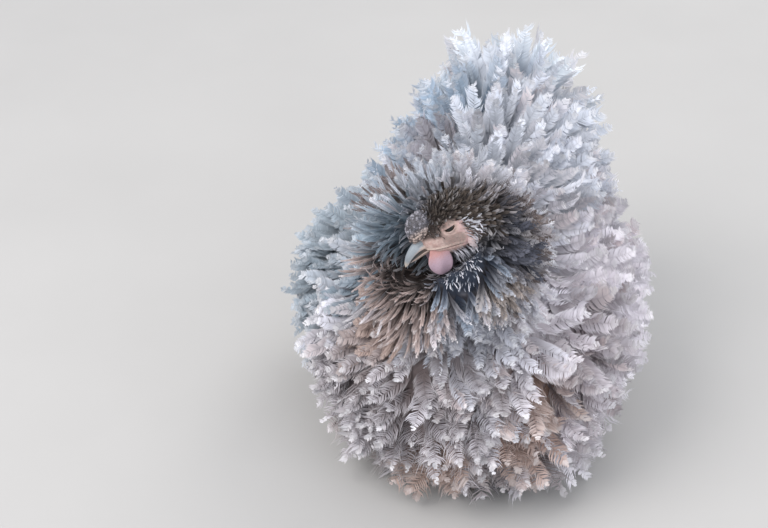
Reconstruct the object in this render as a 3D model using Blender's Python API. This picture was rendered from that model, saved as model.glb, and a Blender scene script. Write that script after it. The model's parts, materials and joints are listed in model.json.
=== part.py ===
# Frizzle chicken, a fluffed hen crouched on the floor, life size, in metres, +Z up.
# The bird looks along -Y and its own left side is +X. The floor is z = 0.
# The plumage is one form, parted by thin cuts into neck, breast, trunk, wings, thighs and tail.

import math
import random

import bmesh
import bpy
import numpy as np
from mathutils import Matrix, Vector

GAP = 0.0003  # clearance between neighbouring pieces

# The plumage's form: soft-joined ellipsoids, each with its centre and its radii
HEART = (0.0, -0.004, 0.100)  # the point that the whole outline is seen from
PLUMAGE_FORM = {
    "barrel": ((0.004, 0.011, 0.080), (0.102, 0.134, 0.092)),
    "breast": ((0.006, -0.065, 0.076), (0.086, 0.077, 0.086)),
    "wing_side_left": ((0.066, 0.004, 0.088), (0.054, 0.104, 0.068)),
    "wing_side_right": ((-0.070, 0.010, 0.094), (0.0575, 0.102, 0.060)),
    "flank_left": ((0.058, -0.034, 0.046), (0.056, 0.076, 0.052)),
    "flank_right": ((-0.042, -0.020, 0.048), (0.042, 0.066, 0.052)),
    "saddle": ((0.001, 0.041, 0.147), (0.080, 0.085, 0.077)),
    "tail_root": ((-0.004, 0.091, 0.184), (0.061, 0.052, 0.062)),
    "nape": ((0.014, -0.056, 0.188), (0.046, 0.036, 0.036)),
    "hackle": ((0.010, -0.073, 0.168), (0.062, 0.053, 0.052)),
}
FORM_SOFTNESS = 0.014

# The tufts: rows that run round the face and follow each other down to the tail and hem
TUFT_ROWS = 14
TUFT_STEPS_ROUND = 40  # two steps to a tuft
FIRST_ROW_ANGLE = 0.22
LAST_ROW_ANGLE = 2.72
ROW_GROWTH = 1.05  # rows are closer together round the face
TUFT_LIFT = 0.0075
TUFT_NOTCH = 0.0005
TUFT_ROOT_SINK = 0.0028
TUFT_OVERHANG = 0.34  # share of a row that a tip hangs over the next
TUFT_SEED = 11

# The cuts between the plumage's parts: ellipsoids, and one slanted plane before the breast
CUTS = {
    "tail": ((0.000, 0.118, 0.208), (0.088, 0.066, 0.064)),
    "wing_left": ((0.118, 0.008, 0.100), (0.042, 0.100, 0.058)),
    "wing_right": ((-0.118, 0.008, 0.100), (0.042, 0.100, 0.058)),
    "thigh_left": ((0.080, -0.012, 0.022), (0.048, 0.064, 0.046)),
    "thigh_right": ((-0.080, -0.008, 0.022), (0.048, 0.064, 0.046)),
    "neck": ((0.010, -0.078, 0.178), (0.070, 0.060, 0.056)),
}
BREAST_PLANE_Y = -0.050
BREAST_PLANE_TILT = math.radians(14)

# The tail's and saddle's upright feathers: foot, tip and width of each blade
TAIL_BLADES = (
    ((-0.030, 0.080, 0.200), (-0.037, 0.108, 0.249), 0.020),
    ((-0.014, 0.090, 0.202), (-0.018, 0.124, 0.253), 0.021),
    ((0.003, 0.086, 0.205), (0.006, 0.112, 0.262), 0.022),
    ((0.019, 0.088, 0.202), (0.028, 0.116, 0.252), 0.020),
    ((0.031, 0.078, 0.198), (0.049, 0.098, 0.240), 0.019),
    ((-0.040, 0.072, 0.190), (-0.056, 0.090, 0.232), 0.019),
    ((0.010, 0.104, 0.188), (0.014, 0.150, 0.230), 0.022),
    ((-0.022, 0.102, 0.182), (-0.030, 0.145, 0.220), 0.021),
    ((0.034, 0.100, 0.178), (0.048, 0.140, 0.212), 0.020),
)
BLADE_THICKNESS = 0.0022

# The head: turned to the bird's right and down, its own axes are +X beak, +Y left, +Z crown
HEAD_PLACE = (0.0172, -0.0905, 0.2117)
HEAD_TURN = math.radians(59.5)
HEAD_DROP = math.radians(27.3)
HEAD_LEAN = math.radians(3.5)
HEAD_HEART = (0.0, 0.0, -0.001)
HEAD_FORM = {
    "skull": ((-0.004, 0.0, 0.003), (0.0200, 0.0142, 0.0145)),
    "face": ((0.0092, 0.0, -0.004), (0.0125, 0.0094, 0.0106)),
    "throat": ((-0.001, 0.0, -0.0115), (0.0135, 0.0090, 0.0100)),
    "nape": ((-0.018, 0.0, -0.007), (0.0185, 0.0142, 0.0160)),
}
HEAD_SOFTNESS = 0.0022
EYE_PLACE = (-0.0010, 0.0102, 0.0045)
EYE_RADIUS = 0.0050

BILL_ROOT_X = 0.0120
BILL_TIP_X = 0.0382
BILL_TIP_Z = -0.0142
CULMEN_Z = 0.0022
BILL_HALF_WIDTH = 0.0060
MOUTH_Z = -0.0090
MOUTH_ARCH = 0.0022
LOWER_BILL_TIP_X = 0.0345
LOWER_BILL_DEPTH = 0.0046

COMB_PLACE = (0.0168, 0.0, 0.0088)
COMB_RADII = (0.0122, 0.0078, 0.0068)
COMB_SLOPE = math.radians(38)
COMB_BUMP = 0.0009
WATTLE_TOP = (0.0122, 0.0058, -0.0092)
WATTLE_RADII = (0.0084, 0.0019, 0.0098)
EAR_LOBE_PLACE = (-0.0095, 0.0116, -0.0128)
EAR_LOBE_RADII = (0.0044, 0.0024, 0.0060)
FACE_BOWL = ((0.015, 0.0, -0.004), (0.034, 0.0225, 0.030))  # what the ruff leaves free before the face

# The legs are folded under the belly, with the shanks and toes flat on the floor
HOCK_PLACE = (0.047, 0.048, 0.0)
FOOT_PLACE = (0.049, -0.028, 0.0)
SHANK_WIDTH = 0.0115
SHANK_HEIGHT = 0.0125
HOCK_SWELL = 0.28
TOE_HEIGHT = 0.0088
TOE_WIDTH = 0.0090
TOES = {  # length and angle away from straight ahead, outward is positive
    "inner": (0.038, math.radians(-27)),
    "middle": (0.052, math.radians(2)),
    "outer": (0.040, math.radians(31)),
    "hind": (0.018, math.radians(-118)),
}
CLAW_LENGTH = 0.0105
CLAW_RADIUS = 0.0023
LEG_ROOM = 0.0135  # height of the hollow over shank and toes


def principled(name, colour, roughness, metallic=0.0):
    """A plain surface with one colour, roughness and metallic value."""
    material = bpy.data.materials.new(name)
    material.use_nodes = True
    shader = material.node_tree.nodes["Principled BSDF"]
    shader.inputs["Base Color"].default_value = (*colour, 1.0)
    shader.inputs["Roughness"].default_value = roughness
    shader.inputs["Metallic"].default_value = metallic
    return material


def object_from(name, points, faces, parent=None):
    """A new object from points and faces, with its faces turned outwards."""
    mesh = bpy.data.meshes.new(name)
    mesh.from_pydata([tuple(map(float, p)) for p in points], [], faces)
    bm = bmesh.new()
    bm.from_mesh(mesh)
    bmesh.ops.recalc_face_normals(bm, faces=bm.faces)
    bm.to_mesh(mesh)
    bm.free()
    obj = bpy.data.objects.new(name, mesh)
    bpy.context.scene.collection.objects.link(obj)
    obj.parent = parent
    return obj


def closed_rings(rings, first, last):
    """Points and faces of rings of equal length, closed by a point before and one after them."""
    count = len(rings[0])
    points = [first, *(point for ring in rings for point in ring), last]
    faces = [(0, 1 + (j + 1) % count, 1 + j) for j in range(count)]
    for i in range(len(rings) - 1):
        low = 1 + i * count
        for j in range(count):
            k = (j + 1) % count
            faces.append((low + j, low + k, low + count + k, low + count + j))
    low = 1 + (len(rings) - 1) * count
    faces += [(len(points) - 1, low + j, low + (j + 1) % count) for j in range(count)]
    return points, faces


def form_distance(points, form, softness):
    """A smooth signed distance to the joined ellipsoids, negative inside."""
    depths = []
    for centre, radii in form.values():
        scaled = (points - np.array(centre)) / np.array(radii)
        depths.append((np.linalg.norm(scaled, axis=-1) - 1) * min(radii))
    depths = np.stack(depths)
    return -softness * np.log(np.exp(-depths / softness).sum(axis=0))


def form_reach(directions, heart, form, softness, grow=0.0):
    """How far the form's surface lies from its heart along each direction."""
    near = np.zeros(len(directions))
    far = np.full(len(directions), 0.4)
    for _ in range(34):
        middle = (near + far) / 2
        inside = form_distance(heart + directions * middle[:, None], form, softness) < grow
        near = np.where(inside, middle, near)
        far = np.where(inside, far, middle)
    return near


def ball_points(axis, angle, turn):
    """Directions at an angle from an axis, turned round it."""
    side = axis.cross(Vector((0, 0, 1))).normalized()
    up = side.cross(axis)
    spread = np.sin(angle)
    return (np.outer(np.cos(angle), axis) + np.outer(spread * np.cos(turn), side)
            + np.outer(spread * np.sin(turn), up))


def tuft_ring(angle, lift):
    """One ring of the plumage, with an angle and a lift for each step round."""
    turn = np.arange(TUFT_STEPS_ROUND) * math.tau / TUFT_STEPS_ROUND
    axis = (Vector(HEAD_PLACE) - Vector(HEART)).normalized()
    directions = ball_points(axis, angle, turn)
    heart = np.array(HEART)
    reach = form_reach(directions, heart, PLUMAGE_FORM, FORM_SOFTNESS)
    return heart + directions * (reach + lift)[:, None]


def plumage():
    """The whole coat's outline: rows of tufts whose tips stand off and hang over the next row."""
    dice = random.Random(TUFT_SEED)
    starts = [FIRST_ROW_ANGLE + (LAST_ROW_ANGLE - FIRST_ROW_ANGLE) * (row / TUFT_ROWS) ** ROW_GROWTH
              for row in range(TUFT_ROWS + 1)]
    even = np.arange(TUFT_STEPS_ROUND) % 2 == 0
    flat = np.ones(TUFT_STEPS_ROUND)
    rings = []
    for row in range(TUFT_ROWS):
        start = starts[row]
        step = starts[row + 1] - start
        is_tip = even if row % 2 == 0 else ~even
        vary = np.array([dice.uniform(0.62, 1.18) for _ in range(TUFT_STEPS_ROUND)])
        rings.append(tuft_ring(flat * (start + 0.06 * step), flat * -TUFT_ROOT_SINK))
        tip_angle = np.where(is_tip, start + step * (1 + TUFT_OVERHANG * vary), start + step * 0.92)
        tip_lift = np.where(is_tip, TUFT_LIFT * vary, TUFT_NOTCH)
        rings.append(tuft_ring(tip_angle, tip_lift))
    rings.append(tuft_ring(flat * (LAST_ROW_ANGLE + 0.06 * step), flat * -TUFT_ROOT_SINK))
    axis = np.array((Vector(HEAD_PLACE) - Vector(HEART)).normalized())[None, :]
    heart = np.array(HEART)
    front, back = (
        heart + way[0] * form_reach(way, heart, PLUMAGE_FORM, FORM_SOFTNESS)[0]
        for way in (axis, -axis)
    )
    return object_from("plumage", *closed_rings([list(ring) for ring in rings], front, back))


def form_ball(name, heart, form, softness, grow=0.0, steps=(16, 10), parent=None):
    """A smooth closed surface of the joined ellipsoids, grown by a margin."""
    across, down = steps
    turn = np.arange(across) * math.tau / across
    heart = np.array(heart)
    axis = Vector((1, 0, 0))
    rings = []
    for i in range(1, down):
        directions = ball_points(axis, np.full(across, math.pi * i / down), turn)
        reach = form_reach(directions, heart, form, softness, grow)
        rings.append(list(heart + directions * reach[:, None]))
    ends = np.array([axis, -axis])
    reach = form_reach(ends, heart, form, softness, grow)
    front, back = heart + ends * reach[:, None]
    return object_from(name, *closed_rings(rings, front, back), parent)


def ellipsoid(name, centre, radii, grow=0.0, steps=(14, 7), parent=None, swell=None):
    """An ellipsoid, its surface moved along its radius by swell(across, down) where given."""
    across, down = steps
    rings = []
    size = [r + grow for r in radii]
    for i in range(1, down):
        angle = math.pi * i / down
        ring = []
        for j in range(across):
            turn = math.tau * j / across
            push = 1 + (swell(turn, angle) if swell else 0.0)
            way = (math.cos(angle), math.sin(angle) * math.cos(turn), math.sin(angle) * math.sin(turn))
            ring.append([c + s * w * push for c, s, w in zip(centre, size, way)])
        rings.append(ring)
    first = (centre[0] + size[0], centre[1], centre[2])
    last = (centre[0] - size[0], centre[1], centre[2])
    return object_from(name, *closed_rings(rings, first, last), parent)


def box(name, low, high, parent=None):
    """A box from its lowest to its highest corner."""
    points = [(x, y, z) for z in (low[2], high[2]) for y in (low[1], high[1]) for x in (low[0], high[0])]
    faces = [(0, 1, 3, 2), (4, 6, 7, 5), (0, 4, 5, 1), (2, 3, 7, 6), (0, 2, 6, 4), (1, 5, 7, 3)]
    return object_from(name, points, faces, parent)


def keep_largest(mesh):
    """Drops the crumbs that a cut through the tufts' tips can leave."""
    bm = bmesh.new()
    bm.from_mesh(mesh)
    left = set(bm.verts)
    islands = []
    while left:
        island = set()
        edge = [left.pop()]
        while edge:
            vert = edge.pop()
            island.add(vert)
            near = {e.other_vert(vert) for e in vert.link_edges} & left
            left -= near
            edge.extend(near)
        islands.append(island)
    islands.sort(key=len)
    for island in islands[:-1]:
        bmesh.ops.delete(bm, geom=list(island), context="VERTS")
    bmesh.ops.dissolve_degenerate(bm, edges=bm.edges, dist=1e-6)
    bmesh.ops.triangulate(bm, faces=bm.faces)
    bm.to_mesh(mesh)
    bm.free()


def carve(obj, operation, *tools):
    """Joins, keeps or removes the tools' volume, and keeps the result as the object's own mesh."""
    for tool in tools:
        modifier = obj.modifiers.new(tool.name, "BOOLEAN")
        modifier.operation = operation
        modifier.solver = "EXACT"
        modifier.object = tool
        bpy.context.view_layer.update()
        result = obj.evaluated_get(bpy.context.evaluated_depsgraph_get())
        mesh = bpy.data.meshes.new_from_object(result)
        obj.modifiers.clear()
        keep_largest(mesh)
        obj.data = mesh
    obj.data.name = obj.name


def copy_of(obj, name, margin=0.0):
    """A second object with a mesh of its own, grown along its normals by a margin."""
    twin = obj.copy()
    twin.data = obj.data.copy()
    twin.name = name
    bpy.context.scene.collection.objects.link(twin)
    if margin:
        bm = bmesh.new()
        bm.from_mesh(twin.data)
        bm.normal_update()
        moves = [vert.normal * margin for vert in bm.verts]
        for vert, move in zip(bm.verts, moves):
            vert.co += move
        bm.to_mesh(twin.data)
        bm.free()
    return twin


def discard(*objects):
    for obj in objects:
        bpy.data.objects.remove(obj)


def finish(obj, material, sharp=None):
    """Gives a piece its surface and its smooth shading."""
    obj.data.materials.clear()
    obj.data.materials.append(material)
    if sharp is None:
        obj.data.shade_flat()
    else:
        obj.data.shade_smooth()
        obj.data.set_sharp_from_angle(angle=math.radians(sharp))


def blade(foot, tip, width):
    """One upright feather as a thin pointed vane that bends back at its tip."""
    foot, tip = Vector(foot), Vector(tip)
    along = tip - foot
    across = along.cross(Vector((0, -1, 0.4))).normalized()
    through = across.cross(along).normalized()
    rings = []
    for share, wide in ((0.0, 0.55), (0.35, 0.95), (0.68, 1.0), (0.9, 0.66)):
        centre = foot + along * share + through * (0.006 * math.sin(math.pi * share))
        half = across * (width * wide / 2)
        thick = through * (BLADE_THICKNESS / 2)
        rings.append([centre - half, centre - thick, centre + half, centre + thick])
    return object_from("blade", *closed_rings(rings, foot - along * 0.06, tip))


def bill_profile(share):
    """Heights of the culmen and the mouth line at a share of the bill's length."""
    drop = (1 - share**2.3) ** 0.62
    culmen = BILL_TIP_Z + (CULMEN_Z - BILL_TIP_Z) * drop
    mouth = MOUTH_Z + MOUTH_ARCH * math.sin(math.pi * min(1.0, share * 1.1)) - 0.0050 * share**3
    return culmen, mouth


def bill_half(name, shares, top_of, bottom_of, width_of, tip, parent):
    """Half of the bill, from sections across it that each end in a flat mouth side."""
    rings = []
    for share in shares:
        x = BILL_ROOT_X + (BILL_TIP_X - BILL_ROOT_X) * share
        top, bottom, half = top_of(share), bottom_of(share), width_of(share)
        arc = [math.pi * i / 8 for i in range(9)]
        if name.startswith("upper"):
            rings.append([(x, half * math.cos(a), bottom + (top - bottom) * math.sin(a)) for a in arc])
        else:
            rings.append([(x, half * math.cos(a), top - (top - bottom) * math.sin(a)) for a in arc])
    middle = (top_of(shares[0]) + bottom_of(shares[0])) / 2
    return object_from(name, *closed_rings(rings, (BILL_ROOT_X, 0, middle), tip), parent)


def make_bill(pose, head_room):
    """The upper and the lower bill, which meet at the mouth line and end at the face."""
    def width_of(share):
        return BILL_HALF_WIDTH * (1 - share**1.7) ** 0.7 + 0.0005

    upper = bill_half(
        "upper_bill", [0.0, 0.15, 0.3, 0.45, 0.6, 0.73, 0.84, 0.93, 0.98],
        lambda s: bill_profile(s)[0], lambda s: bill_profile(s)[1], width_of,
        (BILL_TIP_X, 0, BILL_TIP_Z - 0.0002), pose)
    reach = (LOWER_BILL_TIP_X - BILL_ROOT_X) / (BILL_TIP_X - BILL_ROOT_X)
    last = bill_profile(reach)[1] - GAP - 0.0008

    def under_mouth(share):
        return bill_profile(share)[1] - GAP

    lower = bill_half(
        "lower_bill", [reach * t for t in (0.0, 0.2, 0.4, 0.6, 0.78, 0.92)],
        under_mouth,
        lambda s: under_mouth(s) - LOWER_BILL_DEPTH * math.sqrt(1 - (s / reach) ** 2 * 0.94),
        lambda s: 0.86 * width_of(s * 1.04), (LOWER_BILL_TIP_X, 0, last), pose)
    for piece in (upper, lower):
        carve(piece, "DIFFERENCE", head_room)
    return upper, lower


def comb_swell(turn, angle):
    """Low round knobs in rows over a cushion comb."""
    knob = max(0.0, math.sin(angle * 7)) * max(0.0, math.cos(turn * 6))
    return knob * COMB_BUMP / COMB_RADII[2]


def make_comb(pose, room):
    comb = ellipsoid("comb", (0, 0, 0), COMB_RADII, steps=(14, 10), swell=comb_swell)
    comb.data.transform(Matrix.Translation(COMB_PLACE) @ Matrix.Rotation(COMB_SLOPE, 4, "Y"))
    comb.parent = pose
    carve(comb, "DIFFERENCE", *room)
    return comb


def make_wattle(side, sign, pose, room):
    """A round flat lobe that hangs straight down from the corner of the lower bill."""
    wattle = ellipsoid("wattle_" + side, (0, 0, 0), WATTLE_RADII, steps=(12, 7))
    for vert in wattle.data.vertices:
        low = -vert.co.z / WATTLE_RADII[2]
        vert.co.x *= 0.86 + 0.20 * low
    hang = Matrix.Rotation(-HEAD_DROP * 0.8, 4, "Y") @ Matrix.Translation((0, 0, -WATTLE_RADII[2] * 0.86))
    splay = Matrix.Rotation(sign * math.radians(9), 4, "X")
    top = Vector(WATTLE_TOP)
    top.y *= sign
    wattle.data.transform(Matrix.Translation(top) @ splay @ hang)
    wattle.parent = pose
    carve(wattle, "DIFFERENCE", *room)
    return wattle


def make_head(pose):
    """The head's flesh with pockets for the eyes, and a grown copy that leaves room round it."""
    head = form_ball("head", HEAD_HEART, HEAD_FORM, HEAD_SOFTNESS, parent=pose)
    room = form_ball("head_room", HEAD_HEART, HEAD_FORM, HEAD_SOFTNESS, 1.5 * GAP, parent=pose)
    eyes = []
    for side, sign in (("left", 1), ("right", -1)):
        place = (EYE_PLACE[0], EYE_PLACE[1] * sign, EYE_PLACE[2])
        radii = (EYE_RADIUS,) * 3
        eyes.append(ellipsoid("eye_" + side, place, radii, steps=(12, 7), parent=pose))
        socket = ellipsoid("socket", place, radii, 2 * GAP, (12, 7), parent=pose)
        carve(head, "DIFFERENCE", socket)
        discard(socket)
    return head, room, eyes


def tube(name, start, end, widths, heights, sides=8):
    """A tapered bar with a flat sole on the floor, from pairs of width and height along it."""
    start, end = Vector(start), Vector(end)
    along = end - start
    across = Vector((along.y, -along.x, 0)).normalized()
    rings = []
    for i, (width, height) in enumerate(zip(widths, heights)):
        centre = start + along * (i / (len(widths) - 1))
        ring = []
        for j in range(sides):
            turn = math.tau * (j + 0.5) / sides
            rise = max(0.0, height / 2 * (1 + 1.12 * math.sin(turn)) / 1.06)
            ring.append(centre + across * (width / 2 * math.cos(turn)) + Vector((0, 0, rise)))
        rings.append(ring)
    first = start + Vector((0, 0, heights[0] / 2)) - along.normalized() * heights[0] * 0.3
    last = end + Vector((0, 0, heights[-1] / 2)) + along.normalized() * heights[-1] * 0.3
    return object_from(name, *closed_rings(rings, first, last))


def toe_end(sign, length, angle):
    """The far end of a toe on the floor."""
    way = Vector((sign * math.sin(angle), -math.cos(angle), 0))
    return Vector((sign * FOOT_PLACE[0], FOOT_PLACE[1], 0)) + way * length, way


def make_claw(name, end, way):
    """A short curved claw that leaves the toe's end and points down to the floor."""
    root = end + Vector((0, 0, TOE_HEIGHT * 0.52)) + way * (TOE_HEIGHT * 0.24 + GAP)
    across = Vector((way.y, -way.x, 0))
    rings = []
    for share in (0.0, 0.35, 0.7):
        centre = root + way * (CLAW_LENGTH * share) - Vector((0, 0, 0.0028 * share**1.6))
        radius = CLAW_RADIUS * (1 - 0.75 * share)
        rings.append([centre + across * (radius * 0.75 * math.cos(math.tau * j / 6))
                      + Vector((0, 0, radius * math.sin(math.tau * j / 6))) for j in range(6)])
    tip = root + way * CLAW_LENGTH - Vector((0, 0, 0.0040))
    return object_from(name, *closed_rings(rings, root - way * 0.0001, tip))


def make_leg(side, sign, bone, horn):
    """Shank, foot and claws of one side, all resting on the floor."""
    hock = (sign * HOCK_PLACE[0], HOCK_PLACE[1], 0)
    foot_place = (sign * FOOT_PLACE[0], FOOT_PLACE[1], 0)
    swell = (1 + HOCK_SWELL, 1.0, 0.86, 0.86, 0.95)
    shank, room = (
        tube(name, hock, foot_place, [SHANK_WIDTH * s + grow for s in swell],
             [SHANK_HEIGHT * min(1.0, s) + grow for s in swell])
        for name, grow in (("shank_" + side, 0.0), ("shank_room", 3 * GAP))
    )
    pad = tube("foot_" + side, Vector(foot_place) + Vector((0, -0.002, 0)),
               Vector(foot_place) + Vector((0, -0.014, 0)),
               (SHANK_WIDTH * 0.95, SHANK_WIDTH * 1.25, SHANK_WIDTH * 0.8), (TOE_HEIGHT * 1.1,) * 3)
    knuckles = (1.10, 0.84, 0.98, 0.72)
    for toe, (length, angle) in TOES.items():
        end, way = toe_end(sign, length, angle)
        start = Vector(foot_place) + Vector((0, -0.006, 0))
        bar = tube("toe", start, end, [TOE_WIDTH * k for k in knuckles],
                   [TOE_HEIGHT * k for k in knuckles], 6)
        carve(pad, "UNION", bar)
        discard(bar)
        finish(make_claw("claw_" + side + "_" + toe, end, way), horn, 40)
    carve(pad, "DIFFERENCE", room)
    discard(room)
    finish(shank, bone, 40)
    finish(pad, bone, 40)


def leg_hollow(sign):
    """The space under the coat where one folded leg lies."""
    low_x, high_x = sorted((sign * 0.018, sign * 0.082))
    hollow = box("leg_hollow", (low_x, -0.100, -0.02), (high_x, 0.066, LEG_ROOM))
    bevel = hollow.modifiers.new("rounded", "BEVEL")
    bevel.width = 0.010
    bpy.context.view_layer.update()
    result = hollow.evaluated_get(bpy.context.evaluated_depsgraph_get())
    hollow.data = bpy.data.meshes.new_from_object(result)
    hollow.modifiers.clear()
    return hollow


def breast_block(grow):
    """All that lies before the slanted plane between breast and trunk."""
    block = box("breast_cut", (-0.3, -0.4, -0.3), (0.3, grow, 0.5))
    turned = Matrix.Rotation(BREAST_PLANE_TILT, 4, "X")
    block.data.transform(Matrix.Translation((0, BREAST_PLANE_Y, 0.10)) @ turned)
    return block


def part_plumage(rooms):
    """Parts the plumage, each cut leaving a gap to the parts before it."""
    whole = plumage()
    floor = box("below_floor", (-0.4, -0.4, -0.2), (0.4, 0.4, 0.0))
    hollows = [leg_hollow(sign) for sign in (1, -1)]
    carve(whole, "DIFFERENCE", floor, *hollows)
    discard(floor, *hollows)
    pieces = []
    taken = list(rooms)
    for name, (centre, radii) in CUTS.items():
        region = ellipsoid(name + "_cut", centre, radii)
        piece = copy_of(whole, name)
        carve(piece, "INTERSECT", region)
        carve(piece, "DIFFERENCE", *taken)
        discard(region)
        taken.append(ellipsoid(name + "_room", centre, radii, GAP))
        pieces.append(piece)
    region = breast_block(0.0)
    breast = copy_of(whole, "breast")
    carve(breast, "INTERSECT", region)
    carve(breast, "DIFFERENCE", *taken)
    discard(region)
    taken.append(breast_block(GAP))
    whole.name = "trunk"
    carve(whole, "DIFFERENCE", *taken)
    discard(*taken)
    return [*pieces, breast, whole]


def main():
    for obj in list(bpy.data.objects):
        bpy.data.objects.remove(obj)
    colours = {
        "neck": (0.15, 0.13, 0.14), "breast": (0.42, 0.38, 0.40), "trunk": (0.46, 0.48, 0.53),
        "wing": (0.43, 0.46, 0.52), "thigh": (0.45, 0.42, 0.44), "tail": (0.55, 0.57, 0.60),
    }
    feathers = {name: principled(name + " plumage", colour, 0.85) for name, colour in colours.items()}
    flesh = principled("face skin", (0.34, 0.22, 0.21), 0.60)
    lobe = principled("wattle and lobe skin", (0.47, 0.30, 0.33), 0.50)
    rough_comb = principled("comb skin", (0.36, 0.33, 0.36), 0.70)
    horn = principled("bill and claw horn", (0.38, 0.37, 0.36), 0.42)
    bone = principled("shank scales", (0.24, 0.25, 0.28), 0.55)
    wet = principled("eye", (0.03, 0.02, 0.015), 0.08)

    pose = bpy.data.objects.new("head_pose", None)
    bpy.context.scene.collection.objects.link(pose)
    pose.location = HEAD_PLACE
    # Unturned, the head's beak axis +X is brought to the bird's forward way, -Y
    turned = Matrix.Rotation(-math.pi / 2 - HEAD_TURN, 4, "Z") @ Matrix.Rotation(HEAD_DROP, 4, "Y")
    pose.rotation_euler = (turned @ Matrix.Rotation(HEAD_LEAN, 4, "X")).to_euler()

    head, head_room, eyes = make_head(pose)
    upper, lower = make_bill(pose, head_room)
    bill_room = copy_of(upper, "bill_room", 2 * GAP)
    comb = make_comb(pose, [head_room, bill_room])
    lower_room = copy_of(lower, "lower_room", 2 * GAP)
    wattles = []
    for side, sign in (("left", 1), ("right", -1)):
        wattles.append(make_wattle(side, sign, pose, [head_room, bill_room, lower_room]))
    discard(bill_room, lower_room)
    lobes = []
    rooms = [head_room, ellipsoid("face_bowl", *FACE_BOWL, parent=pose)]
    for side, sign in (("left", 1), ("right", -1)):
        place = (EAR_LOBE_PLACE[0], EAR_LOBE_PLACE[1] * sign, EAR_LOBE_PLACE[2])
        ear = ellipsoid("ear_lobe_" + side, place, EAR_LOBE_RADII, steps=(10, 6), parent=pose)
        carve(ear, "DIFFERENCE", head_room)
        lobes.append(ear)
        rooms.append(ellipsoid("ear_room", place, EAR_LOBE_RADII, GAP, (10, 6), parent=pose))

    for piece in part_plumage(rooms):
        kind = piece.name.split("_")[0]
        if kind == "tail":
            for foot, tip, width in TAIL_BLADES:
                vane = blade(foot, tip, width)
                carve(piece, "UNION", vane)
                discard(vane)
        finish(piece, feathers[kind])
    finish(head, flesh, 50)
    for piece in (upper, lower):
        finish(piece, horn, 40)
    finish(comb, rough_comb, 60)
    for piece in (*wattles, *lobes):
        finish(piece, lobe, 50)
    for piece in eyes:
        finish(piece, wet, 50)
    for side, sign in (("left", 1), ("right", -1)):
        make_leg(side, sign, bone, horn)


main()
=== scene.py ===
# Frizzle hen: skin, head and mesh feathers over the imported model. Metres, floor at z = 0, the bird faces -Y.
import json
import math

import bmesh
import bpy
import numpy as np
from mathutils import Matrix, Vector

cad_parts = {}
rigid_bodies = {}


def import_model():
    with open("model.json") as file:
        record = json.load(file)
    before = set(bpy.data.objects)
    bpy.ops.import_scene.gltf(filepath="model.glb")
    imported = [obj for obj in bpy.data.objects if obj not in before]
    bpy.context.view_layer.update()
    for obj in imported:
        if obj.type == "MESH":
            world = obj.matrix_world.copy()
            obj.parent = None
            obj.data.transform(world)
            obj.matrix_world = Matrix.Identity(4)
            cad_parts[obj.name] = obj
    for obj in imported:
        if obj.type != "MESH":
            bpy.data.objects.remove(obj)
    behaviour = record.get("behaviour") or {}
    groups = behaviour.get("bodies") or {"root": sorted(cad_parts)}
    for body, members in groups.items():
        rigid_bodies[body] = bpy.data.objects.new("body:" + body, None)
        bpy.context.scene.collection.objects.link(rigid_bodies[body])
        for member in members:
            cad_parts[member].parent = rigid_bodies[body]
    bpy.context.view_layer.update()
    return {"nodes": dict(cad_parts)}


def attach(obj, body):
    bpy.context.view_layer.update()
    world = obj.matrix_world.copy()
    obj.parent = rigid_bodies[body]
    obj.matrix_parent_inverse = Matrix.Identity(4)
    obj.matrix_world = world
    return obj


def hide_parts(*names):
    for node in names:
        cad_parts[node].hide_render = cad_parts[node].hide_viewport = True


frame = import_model()


def say(*words):
    print("hen:", *words)


def addObject(name, data):
    made = bpy.data.objects.new(name, data)
    bpy.context.scene.collection.objects.link(made)
    return made


def triangleCount(pieces):
    return sum(len(face.vertices) - 2 for piece in pieces for face in piece.data.polygons)


# Camera, floor and light

view = {
    "turn": math.radians(22), "rise": math.radians(34), "distance": 1.07, "lens": 70.0,
    "aim": (0.0, 0.0, 0.12), "aside": -0.0587,  # the aim is moved along the picture's width
}


def aimCamera():
    turn, rise = view["turn"], view["rise"]
    right = Vector((math.cos(turn), math.sin(turn), 0))
    back = Vector((math.sin(turn) * math.cos(rise), -math.cos(turn) * math.cos(rise), math.sin(rise)))
    lens = bpy.data.cameras.new("camera")
    lens.lens = view["lens"]
    lens.sensor_width = 36
    lens.clip_start = 0.01
    camera = addObject("camera", lens)
    place = Vector(view["aim"]) + right * view["aside"] + back * view["distance"]
    turned = Matrix((right, back.cross(right), back)).transposed().to_4x4()
    camera.matrix_world = Matrix.Translation(place) @ turned
    bpy.context.scene.camera = camera


studio = {
    "skyColour": (0.92, 0.95, 1.0), "skyStrength": 0.86,
    "lamps": {  # place, width, power, colour
        "key": ((-0.9, -1.1, 1.9), 1.5, 32.0, (1.0, 0.97, 0.95)),
        "fill": ((1.5, -0.9, 1.0), 1.6, 9.0, (0.92, 0.96, 1.0)),
        "rim": ((0.4, 1.6, 1.5), 1.2, 12.0, (1.0, 0.98, 0.95)),
    },
    "lampsAim": (0.0, 0.0, 0.1), "floorColour": (0.50, 0.49, 0.48), "floorWidth": 6.0,
}


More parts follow.
